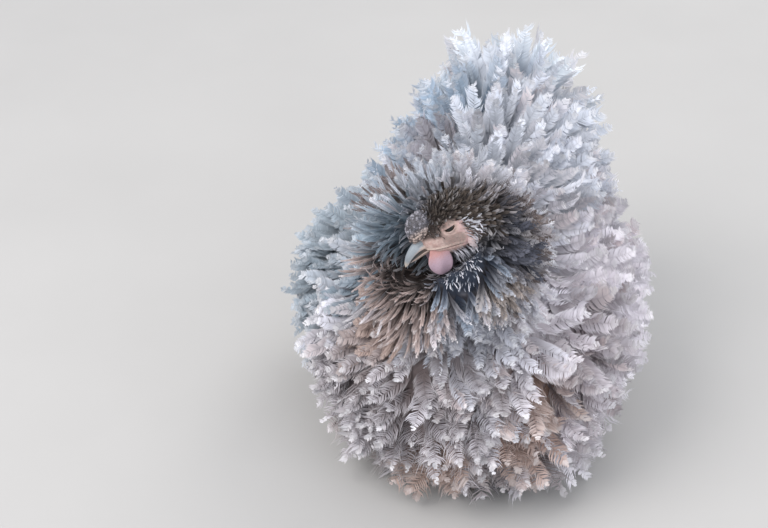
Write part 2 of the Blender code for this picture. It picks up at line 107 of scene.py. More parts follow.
def lightStage():
    world = bpy.data.worlds.new("sky")
    bpy.context.scene.world = world
    world.use_nodes = True
    background = world.node_tree.nodes["Background"]
    background.inputs["Color"].default_value = (*studio["skyColour"], 1)
    background.inputs["Strength"].default_value = studio["skyStrength"]
    for name, (place, width, power, colour) in studio["lamps"].items():
        lamp = bpy.data.lights.new(name, "AREA")
        lamp.shape = "DISK"
        lamp.size = width
        lamp.energy = power
        lamp.color = colour
        lampObject = addObject(name, lamp)
        lampObject.location = place
        towards = Vector(studio["lampsAim"]) - Vector(place)
        lampObject.rotation_euler = towards.to_track_quat("-Z", "Y").to_euler()
    half = studio["floorWidth"] / 2
    corners = [(-half, -half, 0), (half, -half, 0), (half, half, 0), (-half, half, 0)]
    floor = meshObject("floor", corners, [(0, 1, 2, 3)])
    floor.data.materials.append(plainMaterial("paleFloor", studio["floorColour"], 0.85))
    bpy.context.scene.view_settings.view_transform = "Standard"


# Small makers

def meshObject(name, points, faces):
    mesh = bpy.data.meshes.new(name)
    mesh.from_pydata([tuple(map(float, p)) for p in points], [], faces)
    mesh.validate()
    return addObject(name, mesh)


def ringFaces(count, rings):
    faces = [(0, 1 + (j + 1) % count, 1 + j) for j in range(count)]
    for i in range(rings - 1):
        low = 1 + i * count
        for j in range(count):
            k = (j + 1) % count
            faces.append((low + j, low + k, low + count + k, low + count + j))
    low = 1 + (rings - 1) * count
    end = 1 + rings * count
    faces += [(end, low + j, low + (j + 1) % count) for j in range(count)]
    return faces


def closedRings(name, rings, first, last):
    points = np.vstack([np.reshape(first, (1, 3)), rings.reshape(-1, 3), np.reshape(last, (1, 3))])
    made = meshObject(name, points, ringFaces(rings.shape[1], rings.shape[0]))
    faceOutwards(made)
    made.data.shade_smooth()
    return made


def closedBall(name, grid):
    return closedRings(name, grid[1:-1], grid[0, 0], grid[-1, 0])


def ballGrid(steps):  # the angle from the pole and the turn round it, over a whole ball
    across, down = steps
    angles, turns = math.pi * np.arange(down + 1) / down, np.arange(across) * math.tau / across
    return np.meshgrid(angles, turns, indexing="ij")


def ballWays(angle, turn, pole, first, second):
    return (np.cos(angle)[..., None] * pole + (np.sin(angle) * np.cos(turn))[..., None] * first
            + (np.sin(angle) * np.sin(turn))[..., None] * second)


def faceOutwards(piece):
    bm = bmesh.new()
    bm.from_mesh(piece.data)
    bmesh.ops.recalc_face_normals(bm, faces=bm.faces)
    bm.to_mesh(piece.data)
    bm.free()


def setAttribute(mesh, name, values):
    values = np.asarray(values, np.float32)
    kind = "FLOAT_VECTOR" if values.ndim == 2 else "FLOAT"
    layer = mesh.attributes.new(name, kind, "POINT")
    layer.data.foreach_set("vector" if values.ndim == 2 else "value", values.ravel())


def pointsOf(mesh):
    places = np.zeros(len(mesh.vertices) * 3, np.float32)
    mesh.vertices.foreach_get("co", places)
    return places.reshape(-1, 3).astype(float)


def size(vectors):
    return np.linalg.norm(vectors, axis=-1)


def unit(vectors):
    return vectors / np.maximum(size(vectors)[..., None], 1e-12)


def smooth(values, low, high):
    share = np.clip((values - low) / (high - low), 0, 1)
    return share * share * (3 - 2 * share)


def bell(values, middle, width):
    return np.exp(-((values - middle) / width) ** 2)


def reachOf(points, centre, radii):  # 1 on the ellipsoid and less inside it
    return size((points - centre) / radii)


def laidOn(vectors, normals):
    return unit(vectors - (vectors * normals).sum(axis=-1, keepdims=True) * normals)


def firstOf(rules):  # each place goes to the first rule that it meets
    free = True
    for name, rule in rules.items():
        rules[name] = rule & free
        free = free & ~rule
    return rules


# Shader nodes: a wire is a node's output, so that sums of them are written as sums

class Wire:
    def __init__(self, socket):
        self.socket = socket

    def __add__(self, other):
        return makeNode("Math", self, other, operation="ADD")

    def __sub__(self, other):
        return makeNode("Math", self, other, operation="SUBTRACT")

    def __mul__(self, other):
        return makeNode("Math", self, other, operation="MULTIPLY")


def feed(socket, value):
    if isinstance(value, Wire):
        socket.id_data.links.new(value.socket, socket)
    elif isinstance(value, tuple) and len(socket.default_value) > len(value):
        socket.default_value = (*value, 1)
    elif value is not None:
        socket.default_value = value


def makeNode(kind, *values, tree=None, output=0, **settings):
    tree = tree or next(value for value in values if isinstance(value, Wire)).socket.id_data
    node = tree.nodes.new("ShaderNode" + kind)
    for name, setting in settings.items():
        setattr(node, name, setting)
    for socket, value in zip(node.inputs, values):
        feed(socket, value)
    return Wire(node.outputs[output])


def vectorNode(operation, *values):
    kind = "Value" if operation in ("LENGTH", "DISTANCE") else "Vector"
    return makeNode("VectorMath", *values, output=kind, operation=operation)


def absolute(value):
    return makeNode("Math", value, operation="ABSOLUTE")


def rising(value, low, high, top=1.0):
    return makeNode("MapRange", value, low, high, 0.0, top, interpolation_type="SMOOTHSTEP")


def falling(value, low, high, top=1.0):
    return makeNode("MapRange", value, low, high, top, 0.0, interpolation_type="SMOOTHSTEP")


def band(value, start, full, still, end):
    return rising(value, start, full) * falling(value, still, end)


def mixed(share, first, second):
    return makeNode("Mix", share, *[None] * 5, first, second, output=2, data_type="RGBA")


def layered(colour, colours, *layers):
    for name, share in layers:
        colour = mixed(share, colour, colours[name])
    return colour


def noise(place, scale, detail=2.0, roughness=0.5):
    return makeNode("TexNoise", place, None, scale, detail, roughness)


def apart(vector):
    return [Wire(socket) for socket in makeNode("SeparateXYZ", vector).socket.node.outputs]


def attribute(material, name, output="Vector"):
    return makeNode("Attribute", tree=material.node_tree, output=output, attribute_name=name)


def objectPlace(material):
    return makeNode("TexCoord", tree=material.node_tree, output="Object")


def newMaterial(name, roughness, **settings):
    material = bpy.data.materials.new(name)
    material.use_nodes = True
    for label, value in {"Roughness": roughness, **settings}.items():
        feed(material.node_tree.nodes["Principled BSDF"].inputs[label.replace("_", " ")], value)
    return material


def paint(material, colour, height=None, distance=0.0, strength=1.0):
    shader = material.node_tree.nodes["Principled BSDF"]
    feed(shader.inputs["Base Color"], colour)
    if height:
        bump = material.node_tree.nodes.new("ShaderNodeBump")
        for label, value in (("Height", height), ("Distance", distance), ("Strength", strength)):
            feed(bump.inputs[label], value)
        feed(shader.inputs["Normal"], Wire(bump.outputs[0]))
    return material


def times(colour, share):
    return tuple(share * c for c in colour)


def plainMaterial(name, colour, roughness):
    material = newMaterial(name, roughness)
    grain = noise(objectPlace(material), 6.0, 3.0)
    return paint(material, mixed(grain, times(colour, 0.95), times(colour, 1.05)))


# The bird's form: the plumage's outline and the head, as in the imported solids

heart = np.array((0.0, -0.004, 0.100))
bodyForm = {
    "barrel": ((0.004, 0.011, 0.080), (0.102, 0.134, 0.092)),
    "breast": ((0.006, -0.065, 0.076), (0.086, 0.077, 0.086)),
    "wingSideLeft": ((0.066, 0.004, 0.088), (0.054, 0.104, 0.068)),
    "wingSideRight": ((-0.070, 0.010, 0.094), (0.0575, 0.102, 0.060)),
    "flankLeft": ((0.058, -0.034, 0.046), (0.056, 0.076, 0.052)),
    "flankRight": ((-0.042, -0.020, 0.048), (0.042, 0.066, 0.052)),
    "saddle": ((0.001, 0.041, 0.147), (0.080, 0.085, 0.077)),
    "tailRoot": ((-0.004, 0.091, 0.184), (0.061, 0.052, 0.062)),
    "nape": ((0.014, -0.056, 0.188), (0.046, 0.036, 0.036)),
    "hackle": ((0.010, -0.073, 0.168), (0.062, 0.053, 0.052)),
}
neckCore = ((0.028, -0.076, 0.192), (0.031, 0.029, 0.038))  # the neck's flesh under the nape's feathers
faceBowl = ((0.015, 0.0, -0.004), (0.031, 0.0205, 0.027))  # in the head's own axes: kept free before the face
bodySoftness = 0.014
coatDepth = {"face": 0.011, "body": 0.020, "belly": 0.0165, "bellyBend": 0.004}

headPlace = Vector((0.0172, -0.0905, 0.2117))
headPose = (Matrix.Translation(headPlace) @ Matrix.Rotation(-math.pi / 2 - math.radians(59.5), 4, "Z")
            @ Matrix.Rotation(math.radians(27.3), 4, "Y") @ Matrix.Rotation(math.radians(3.5), 4, "X"))
headHeart = np.array((0.0, 0.0, -0.001))
headForm = {
    "skull": ((-0.004, 0.0, 0.003), (0.0194, 0.0136, 0.0139)),
    "face": ((0.0092, 0.0, -0.004), (0.0120, 0.0089, 0.0101)),
    "throat": ((-0.001, 0.0, -0.0115), (0.0130, 0.0085, 0.0095)),
    "nape": ((-0.018, 0.0, -0.007), (0.0179, 0.0136, 0.0154)),
    "eyeLeft": ((-0.0010, 0.0102, 0.0045), (0.0053, 0.0053, 0.0053)),
    "eyeRight": ((-0.0010, -0.0102, 0.0045), (0.0053, 0.0053, 0.0053)),
}
headSoftness = 0.0019
faceAxis = unit(np.array(headPlace) - heart)


def moved(points, place):
    return np.asarray(points) @ np.array(place.to_3x3()).T + np.array(place.translation)


def toWorld(points):
    return moved(points, headPose)


def toHead(points):
    return (np.asarray(points) - np.array(headPose.translation)) @ np.array(headPose.to_3x3())


def formDistance(points, form, softness):
    depths = np.stack([(reachOf(points, *blob) - 1) * min(blob[1]) for blob in form.values()])
    return -softness * np.log(np.exp(-depths / softness).sum(axis=0))


def headDistance(points):
    return formDistance(points, headForm, headSoftness)


def headNormal(points):
    slopes = [headDistance(points + step) - headDistance(points - step) for step in 1e-4 * np.eye(3)]
    return unit(np.stack(slopes, axis=-1))


def bowlDistance(points):
    return (reachOf(toHead(points), *faceBowl) - 1) * min(faceBowl[1])


def sideAndUp(axis):
    side = unit(np.cross(axis, (0.0, 0.0, 1.0)))
    return side, np.cross(side, axis)


def furthest(near, far, inside, rounds):  # how far each ray goes before it leaves the form
    for _ in range(rounds):
        middle = (near + far) / 2
        good = inside(middle)
        near, far = np.where(good, middle, near), np.where(good, far, middle)
    return near


def unwrap(points):
    directions = unit(points - heart)
    side, up = sideAndUp(faceAxis)
    angle = np.arccos(np.clip(directions @ faceAxis, -1, 1))
    turn = np.arctan2(directions @ up, directions @ side)
    return np.stack([0.02 + 0.96 * (turn / math.tau + 0.5), 0.02 + 0.96 * angle / math.pi], axis=-1)


def aboveBelly(points):
    low = points[..., 2] - coatDepth["belly"]
    points[..., 2] = coatDepth["belly"] + 0.5 * (low + np.sqrt(low * low + coatDepth["bellyBend"] ** 2))
    return points


def bodySurface(angle, turn):  # the coat's depth inside the plumage, and outside the bowl before the face
    directions = ballWays(angle, turn, faceAxis, *sideAndUp(faceAxis))
    depth = coatDepth["face"] + (coatDepth["body"] - coatDepth["face"]) * smooth(angle, 0.15, 0.75)
    form = dict(bodyForm, neckCore=neckCore)

    def inside(reach):
        points = heart + directions * reach[..., None]
        return (formDistance(points, form, bodySoftness) < -depth) & (bowlDistance(points) > 0.001)

    step = 0.0015
    near = np.full(angle.shape, 0.02)
    solid = np.ones(angle.shape, bool)
    for reach in np.arange(0.0215, 0.2, step):
        solid &= inside(np.full(angle.shape, reach))
        near = np.where(solid, reach, near)
    return aboveBelly(heart + directions * furthest(near, near + step, inside, 8)[..., None])


# Skin

skinParts = {
    "bodySteps": (132, 96), "headSteps": (176, 128),
    "socketRadius": 0.0034, "socketAngles": (0.62, 0.95),
    "brow": (0.0068, 0.0014), "browLift": 0.0007,  # each fold's distance and width
    "folds": (0.0085, 0.0032), "foldLift": 0.00014, "foldWaves": 5200,
    "mouthLine": (0.012, -0.0090, 0.18),  # X and Z of its front end, and its slope
    "lips": ((0.0007, 0.0010, 0.0007), (-0.0007, -0.0002, 0.0005), (0.0004, -0.0013, 0.0007)),
    "grainLift": 0.00010,
}
eyes = {
    "place": (-0.0010, 0.0102, 0.0045), "radius": 0.0050,
    "look": (0.10, 0.98, 0.16),  # the way that the left eye points, in the head's own axes
    "slitHalfLength": 0.92, "slitUpper": 0.12, "slitLower": 0.42,  # in radians over the eyeball
    "slitTilt": math.radians(6),
    "irisAngle": 0.80, "pupilAngle": 0.46,
    "pupil": (0.003, 0.003, 0.003), "irisDark": (0.016, 0.007, 0.004), "irisLight": (0.050, 0.022, 0.010),
    "rim": (0.03, 0.02, 0.018),
}


def eyeFrame(sign):
    centre, look = np.array((eyes["place"], eyes["look"])) * (1, sign, 1)
    outward = unit(look)
    along = unit((1.0, 0.0, 0.0) - outward * outward[0])
    above = np.cross(outward, along)
    if above[2] < 0:
        above = -above
    cos, sin = math.cos(eyes["slitTilt"]), math.sin(eyes["slitTilt"])
    return centre, outward, along * cos - above * sin, above * cos + along * sin


def overMouth(x, z):  # height over the line of the mouth
    frontX, frontZ, slope = skinParts["mouthLine"]
    return (x - frontX) * -slope + (z - frontZ)


def headSurface(directions):
    def inside(reach):
        return headDistance(headHeart + directions * reach[..., None]) < 0

    lift = np.zeros(directions.shape[:-1])
    points = headHeart + directions * furthest(lift, lift + 0.4, inside, 30)[..., None]
    normals = headNormal(points)
    for sign in (1, -1):
        centre, outward, along, above = eyeFrame(sign)
        away = points - centre
        height, forward = away @ above, away @ along
        facing = away @ outward > 0
        flat = np.sqrt(forward**2 + height**2)
        brow = bell(flat, *skinParts["brow"]) * smooth(height, -0.001, 0.005)
        lift += skinParts["browLift"] * brow * facing
        ripple = np.sin(flat * skinParts["foldWaves"] + 1.3 * np.sin(np.arctan2(height, forward) * 3))
        lift += skinParts["foldLift"] * ripple * bell(flat, *skinParts["folds"]) * facing
    x, y, z = np.moveaxis(points, -1, 0)
    lips = sum(rise * bell(overMouth(x, z), *where) for rise, *where in skinParts["lips"])
    lift += smooth(x, -0.007, -0.002) * (np.abs(y) > 0.002) * lips
    grain = skinParts["grainLift"] * np.sin(x * 3100 + 2 * np.sin(z * 900)) * np.sin(z * 2700 + y * 1500)
    lift += grain * (z < 0.006)
    points = points + normals * lift[..., None]
    for sign in (1, -1):
        centre, outward, _, _ = eyeFrame(sign)
        away = points - centre
        distance = size(away)
        angle = np.arccos(np.clip((away @ outward) / np.maximum(distance, 1e-9), -1, 1))
        sunk = 1 - smooth(angle, *skinParts["socketAngles"])
        radius = distance + (skinParts["socketRadius"] - distance) * sunk
        points = np.where((sunk > 0)[..., None], centre + unit(away) * radius[..., None], points)
    return points


def slitEdge(turn):
    half = eyes["slitHalfLength"]
    across = half * np.cos(turn)
    rise = np.where(np.sin(turn) > 0, eyes["slitUpper"], eyes["slitLower"])
    return across, rise * np.sin(turn) * np.sqrt(np.abs(np.sin(turn)) + 0.02) ** 0.5


lidProfile = (  # share of the way from slit to rim, and the height over the eyeball there
    (0.02, 0.00010), (0.00, 0.00030), (0.02, 0.00052), (0.07, 0.00066), (0.14, 0.00062), (0.24, 0.00048),
    (0.34, 0.00056), (0.45, 0.00044), (0.56, 0.00054), (0.68, 0.00040), (0.80, 0.00044), (0.92, 0.00018),
    (1.00, -0.00030), (0.96, -0.00100),
)


def makeLids(sign):
    centre, outward, along, above = eyeFrame(sign)
    count = 72
    turns = np.arange(count) * math.tau / count
    across, rise = slitEdge(turns)
    rimAcross, rimRise = 1.18 * np.cos(turns), 1.12 * np.sin(turns)
    rings = []
    for share, over in lidProfile:
        a = across + (rimAcross - across) * share
        b = rise + (rimRise - rise) * share
        reach = np.sqrt(a * a + b * b)
        spread = np.sin(np.minimum(reach, 1.5)) / np.maximum(reach, 1e-9)
        ways = (np.cos(np.minimum(reach, 1.5))[:, None] * outward + (a * spread)[:, None] * along
                + (b * spread)[:, None] * above)
        pleat = 0.00005 * np.sin(turns * 17) * smooth(np.array(share), 0.0, 0.3)
        rings.append(centre + ways * (eyes["radius"] + over + pleat)[:, None])
    rings = [centre + (rings[-1] - centre) * 0.86, *rings]
    faces = []
    for i in range(len(rings)):
        low, high = i * count, (i + 1) % len(rings) * count
        for j in range(count):
            k = (j + 1) % count
            faces.append((low + j, low + k, high + k, high + j))
    return np.vstack(rings), faces


def makeSkin():
    body = closedBall("skin", bodySurface(*ballGrid(skinParts["bodySteps"])))
    ahead = np.array((1.0, 0.0, 0.0))
    directions = ballWays(*ballGrid(skinParts["headSteps"]), ahead, *sideAndUp(ahead))
    head = closedBall("headSkin", toWorld(headSurface(directions)))
    joiner = body.modifiers.new("join", "BOOLEAN")
    joiner.operation = "UNION"
    joiner.solver = "EXACT"
    joiner.object = head
    bpy.context.view_layer.update()
    joined = bpy.data.meshes.new_from_object(body.evaluated_get(bpy.context.evaluated_depsgraph_get()))
    body.modifiers.clear()
    body.data = joined
    bpy.data.objects.remove(head)
    bm = bmesh.new()
    bm.from_mesh(joined)
    for sign in (1, -1):
        points, faces = makeLids(sign)
        made = [bm.verts.new(p) for p in toWorld(points)]
        for face in faces:
            bm.faces.new([made[i] for i in face])
    bmesh.ops.triangulate(bm, faces=bm.faces)
    bmesh.ops.recalc_face_normals(bm, faces=bm.faces)
    bm.to_mesh(joined)
    bm.free()
    joined.name = "skin"
    joined.shade_smooth()
    places = pointsOf(joined)
    local = toHead(places)
    setAttribute(joined, "headLocal", local)
    setAttribute(joined, "onHead", 1 - smooth(headDistance(local), 0.0012, 0.0030))
    bakeMap(joined, unwrap(places))
    return body


def bakeMap(mesh, coordinates):
    layer = mesh.uv_layers.new(name="OFBake")
    corners = np.zeros(len(mesh.loops), np.int32)
    mesh.loops.foreach_get("vertex_index", corners)
    layer.uv.foreach_set("vector", coordinates[corners].astype(np.float32).ravel())


# Feathers

plainLook = {
    "uneven": 0.18, "curlPower": 1.8, "liftSpread": 0.10, "roll": 0.28, "bow": 0.10, "quill": 0.00028,
    "stations": 8, "bareBase": 0.06, "mid": 1.0, "ragged": 0.08, "frizz": 0.06,
}
vane = {
    "baseWidth": 0.45, "shoulder": 0.55, "end": 1.03, "cup": 0.08, "clump": 4, "rachisLift": 0.00012,
    "frondFrom": 1.05, "frondSpan": 0.45, "paddle": (0.80, 0.90), "paddleWidth": 0.9714, "paddleOpen": 1.3,
    "patch": 0.003, "floorClear": 0.0015,  # a feather's width in OFBake, and its height over the floor
}


def bendShafts(roots, normals, flows, length, look, number, dice):
    count, stations = len(roots), look["stations"]
    share = np.linspace(0, 1, stations)
    lift = number("lift") + dice.normal(0, look["liftSpread"], (count, 1))
    curl = number("curl", 0.35)
    yaw = dice.normal(0, 1, (count, 1)) * number("stray")
    roll = dice.normal(0, 1, (count, 1, 1)) * look["roll"]
    bow = dice.normal(0, look["bow"], (count, 1))
    forward = np.cos(yaw) * flows + np.sin(yaw) * np.cross(flows, normals)
    side = np.cross(forward, normals)[:, None]
    angle = (lift + curl * share ** look["curlPower"])[..., None]
    tangent = np.cos(angle) * forward[:, None] + np.sin(angle) * normals[:, None]
    tangent = unit(tangent + side * (2 * bow * share)[..., None])
    steps = (length / (stations - 1))[..., None] * (tangent[:, 1:] + tangent[:, :-1]) / 2
    spine = roots[:, None] + np.concatenate([np.zeros((count, 1, 3)), np.cumsum(steps, axis=1)], axis=1)
    face = unit(np.cross(side, tangent))
    across = unit(np.cross(tangent, face))
    cos, sin = np.cos(roll), np.sin(roll)
    return spine, tangent, cos * across + sin * face, cos * face - sin * across


def vaneOutline(at, ends, width, frond, paddle):  # how far each barb reaches out from the shaft
    base, shoulder = vane["baseWidth"], vane["shoulder"]
    rise = np.sqrt(1 - (1 - np.minimum(ends / 0.5, 1)) ** 2)
    rounding = np.sqrt(np.maximum(1 - (np.maximum(ends - shoulder, 0) / (vane["end"] - shoulder)) ** 2, 0.02))
    spray = (0.55 + 0.45 * np.sin(math.pi * np.clip(at / 0.9, 0, 1))) * (1 - paddle)
    spray = spray + vane["paddleWidth"] * np.sqrt(1.02 - at) * paddle
    return width * ((base + (1 - base) * rise) * rounding * (1 - frond) + spray * frond)


def growFeathers(name, roots, normals, flows, look, barbs, seed, material):
    look = {**plainLook, **look}
    dice = np.random.default_rng(seed)
    count, stations = len(roots), look["stations"]

    def number(key, spread=0.0):
        return np.reshape(look[key], (-1, 1)) * (1 + spread * dice.uniform(-1, 1, (count, 1)))

    length, width = number("length", look["uneven"]), number("width", 0.15)
    shafts = bendShafts(roots, normals, flows, length, look, number, dice)
    spine, _, across, face = shafts
    share = np.linspace(0, 1, stations)
    quill = (look["quill"] * (1.05 - share))[:, None]
    raised = spine + face * vane["rachisLift"]
    blocks = [raised - across * quill, raised + across * quill]
    lies = [(share, 0.0), (share, 0.0)]

    base = look["bareBase"]
    at = base + (1 - base) * (np.arange(barbs) + 0.5) / barbs
    low = np.minimum((at * (stations - 1)).astype(int), stations - 2)
    part = (at * (stations - 1) - low)[:, None]
    foot, *ways = (values[:, low] * (1 - part) + values[:, low + 1] * part for values in shafts)
    ahead, wide, out = map(unit, ways)
    ends = at + (1 - at) * number("fan") + 0.02  # each barb's tip comes level with the shaft here
    openness = number("open")
    # a frond's barbs stand apart, down to the paddle at its tip
    frond = np.clip((vane["frondFrom"] - openness) / vane["frondSpan"], 0, 1)
    paddle = smooth(at, *vane["paddle"])
    outline = vaneOutline(at, ends, width, frond, paddle)
    openness = openness + (vane["paddleOpen"] - openness) * frond * paddle
    spacing = length * (1 - base) / barbs
    halfWidth = (spacing * openness * 0.5)[..., None]
    clumps = -(-barbs // vane["clump"])
    loose = 0.25 + at * at * 1.3  # the vane comes apart towards its tip
    ragged, frizz, mid = (number(key) for key in ("ragged", "frizz", "mid"))
    for sign in (-1.0, 1.0):
        clump = np.repeat(dice.normal(0, 1, (count, clumps)), vane["clump"], axis=1)[:, :barbs] * loose
        fine = dice.normal(0, 1, (count, barbs))
        grown = 1 + ragged * clump + 0.06 * fine
        onward = length * (ends - at) * (1 - 0.3 * frond * paddle) * grown + outline * ragged * 2.5 * clump
        onward = ahead * onward[..., None]
        reach = (outline * grown)[..., None]
        aside = sign * wide * reach
        cup = out * reach * (vane["cup"] + frizz * (clump + 0.8 * fine))[..., None]
        start = foot + ahead * (spacing * 0.25 * fine)[..., None]
        middle = start + onward * 0.42 + aside * 0.68 + cup * 0.6
        first = unit(middle - start)
        crossway = unit(ahead - first * (ahead * first).sum(-1, keepdims=True) * 0.85)
        slim = crossway * np.minimum(halfWidth * mid[..., None], reach * 0.5)
        blocks += [start - ahead * halfWidth, start + ahead * halfWidth, middle - slim, middle + slim]
        blocks.append(start + onward + aside + cup * 1.4)
        lies += [(at, sign * outShare) for outShare in (0.0, 0.0, 0.62, 0.62, 1.0)]
    places = np.concatenate(blocks, axis=1)
    perFeather = places.shape[1]
    clear, z = vane["floorClear"], places[..., 2]
    places[..., 2] = np.where(z < clear, clear * np.exp(np.minimum(z / clear - 1, 0)), z)
    feather = featherMesh(name, places, featherFaces(stations, barbs))
    tone = np.repeat(dice.uniform(0, 1, count), perFeather)
    lies = [np.stack([shares, np.full(len(shares), outShare)]) for shares, outShare in lies]
    along, outward = np.tile(np.concatenate(lies, axis=1), count)
    setAttribute(feather.data, "root", np.repeat(roots, perFeather, axis=0))
    setAttribute(feather.data, "lie", np.stack([along, np.abs(outward), tone], axis=-1))
    spread = vane["patch"] * np.stack([outward * 0.5, along - 0.5], axis=-1)
    bakeMap(feather.data, np.repeat(unwrap(roots), perFeather, axis=0) + spread)
    feather.data.materials.append(material)
    say(name, count, "feathers,", triangleCount([feather]), "triangles")
    return feather


def featherFaces(stations, barbs):
    quads = [(stations + k, stations + k + 1, k + 1, k) for k in range(stations - 1)]
    triangles = []
    for start, step in ((2 * stations, -1), (2 * stations + 5 * barbs, 1)):
        for i in range(start, start + barbs):
            back, front, midBack, midFront, tip = range(i, i + 5 * barbs, barbs)
            quads.append((back, *(midBack, midFront, front)[::step]))
            triangles.append((midBack, *(tip, midFront)[::step]))
    return np.array(quads), np.array(triangles)


def featherMesh(name, places, faces):
    count, perFeather = places.shape[:2]
    shift = (np.arange(count) * perFeather)[:, None, None]
    corners = np.concatenate([(part + shift).ravel() for part in faces]).astype(np.int32)
    sizes = np.concatenate([np.full(len(part) * count, part.shape[1]) for part in faces])
    mesh = bpy.data.meshes.new(name)
    mesh.vertices.add(count * perFeather)
    mesh.vertices.foreach_set("co", places.astype(np.float32).ravel())
    mesh.loops.add(len(corners))
    mesh.loops.foreach_set("vertex_index", corners)
    mesh.polygons.add(len(sizes))
    mesh.polygons.foreach_set("loop_start", (np.cumsum(sizes) - sizes).astype(np.int32))
    mesh.update(calc_edges=True)
    mesh.shade_smooth()
    return addObject(name, mesh)


nearCells = [(a, b, c) for a in (-1, 0, 1) for b in (-1, 0, 1) for c in (-1, 0, 1)]


def scatter(points, spacing):  # keeps each point that has its own gap to all the kept ones before it
    keys = np.floor(points / np.max(spacing)).astype(int)
    grid, kept = {}, []
    for i, ((x, y, z), (px, py, pz)) in enumerate(zip(keys.tolist(), points.tolist())):
        room = spacing[i] ** 2
        near = (spot for a, b, c in nearCells for spot in grid.get((x + a, y + b, z + c), ()))
        if all((px - qx) ** 2 + (py - qy) ** 2 + (pz - qz) ** 2 >= room for qx, qy, qz in near):
            grid.setdefault((x, y, z), []).append((px, py, pz))
            kept.append(i)
    return np.array(kept)


# What the plumage is like over the body: each row has a place and its reach, then the values that
# lieNames lists, and the rows near a spot count most there
lieNames = ("length", "width", "lift", "curl", "stray", "open", "gap", "fan", "mid", "ragged", "frizz")
lie = {
    "back": ((0.0, 0.02, 0.215), (0.08, 0.07, 0.05),
        0.035, 0.0056, 0.34, 1.1, 0.38, 1.05, 0.006, 0.28, 0.9, 0.18, 0.1),
    "tail": ((0.0, 0.11, 0.225), (0.06, 0.045, 0.045),
        0.055, 0.0062, 0.18, 0.5, 0.24, 1.05, 0.0068, 0.3, 0.9, 0.24, 0.08),
    "rump": ((0.0, 0.15, 0.1), (0.1, 0.05, 0.08),
        0.036, 0.0066, 0.33, 1.2, 0.38, 1.1, 0.0074, 0.26, 1.0, 0.14, 0.08),
    "rightWing": ((-0.12, 0.0, 0.1), (0.055, 0.1, 0.07),
        0.037, 0.0062, 0.2, 0.5, 0.24, 1.2, 0.0062, 0.3, 1.05, 0.06, 0.04),
    "shoulder": ((-0.05, -0.07, 0.17), (0.05, 0.04, 0.045),
        0.025, 0.005, 0.16, 0.55, 0.28, 1.2, 0.0052, 0.3, 1.05, 0.06, 0.05),
    "leftSide": ((0.12, 0.0, 0.11), (0.055, 0.11, 0.08),
        0.036, 0.0072, 0.28, 1.35, 0.42, 1.05, 0.0068, 0.26, 0.92, 0.11, 0.1),
    "nape": ((0.0, -0.04, 0.215), (0.045, 0.035, 0.032),
        0.019, 0.003, 0.3, 1.3, 0.55, 0.6, 0.0036, 0.38, 0.7, 0.15, 0.25),
    "tan": ((-0.03, -0.12, 0.135), (0.035, 0.03, 0.03),
        0.03, 0.0052, 0.14, 0.4, 0.22, 1.15, 0.0056, 0.32, 1.0, 0.08, 0.05),
    "bib": ((0.045, -0.11, 0.155), (0.04, 0.03, 0.028),
        0.025, 0.0048, 0.18, 0.5, 0.32, 1.0, 0.005, 0.3, 0.9, 0.12, 0.1),
    "breast": ((0.01, -0.14, 0.095), (0.08, 0.05, 0.035),
        0.034, 0.0078, 0.22, 0.55, 0.3, 0.55, 0.006, 0.34, 0.85, 0.14, 0.24),
    "hem": ((0.0, -0.12, 0.03), (0.13, 0.09, 0.045),
        0.04, 0.0096, 0.12, 0.4, 0.26, 0.47, 0.0066, 0.38, 0.85, 0.16, 0.3),
    "backHem": ((0.0, 0.11, 0.03), (0.13, 0.09, 0.045),
        0.037, 0.008, 0.18, 0.7, 0.3, 0.6, 0.0078, 0.26, 0.95, 0.12, 0.2),
}


def wave(points, length, shift):
    ways = np.array(((1.0, 0.7, 0.2), (-0.5, 1.0, 0.6), (0.3, -0.6, 1.1)))
    a, b, c = (points @ ways * (math.tau / length)).T
    return (np.sin(a + shift) + np.sin(b * 1.3 + 2 * shift + 1) + np.sin(c * 0.8 + 3 * shift)) / 3


def lieAt(points):
    weights = np.stack([np.exp(-0.8 * reachOf(points, *row[:2]) ** 2) + 1e-6 for row in lie.values()])
    values = (weights / weights.sum(axis=0)).T @ np.array([row[2:] for row in lie.values()])
    return dict(zip(lieNames, values.T.copy()))


def flowAt(points, normals):
    directions = unit(points - heart)
    away = (directions @ faceAxis)[:, None] * directions - faceAxis
    down = np.array((0.0, 0.0, -1.0))
    front = smooth(-points[:, 1], -0.02, 0.08) * (1 - smooth(points[:, 2], 0.10, 0.20))
    hem = 1 - smooth(points[:, 2], 0.022, 0.075)
    level = unit((points - heart) * (1, 1, 0))
    flow = unit(away) + down * (0.45 * front)[:, None] + (level * 0.9 + down * 0.2) * hem[:, None]
    flow = laidOn(flow, normals)
    lean = 0.55 * wave(points, 0.075, 1.0)[:, None]  # neighbours lean together, so that locks form
    return np.cos(lean) * flow + np.sin(lean) * np.cross(flow, normals)


def sampleSurface(mesh, count, seed):
    mesh.calc_loop_triangles()
    corners = np.zeros(len(mesh.loop_triangles) * 3, np.int32)
    mesh.loop_triangles.foreach_get("vertices", corners)
    corners = corners.reshape(-1, 3)
    facing = np.zeros(len(mesh.vertices) * 3, np.float32)
    mesh.vertices.foreach_get("normal", facing)
    facing, places = facing.reshape(-1, 3)[corners], pointsOf(mesh)[corners]
    areas = np.linalg.norm(np.cross(places[:, 1] - places[:, 0], places[:, 2] - places[:, 0]), axis=1)
    dice = np.random.default_rng(seed)
    picked = dice.choice(len(areas), count, p=areas / areas.sum())
    a, b = dice.random(count), dice.random(count)
    flip = a + b > 1
    a, b = np.where(flip, 1 - a, a), np.where(flip, 1 - b, b)
    shares = np.stack([1 - a - b, a, b], axis=-1)[..., None]
    return (places[picked] * shares).sum(axis=1), unit((facing[picked] * shares).sum(axis=1))


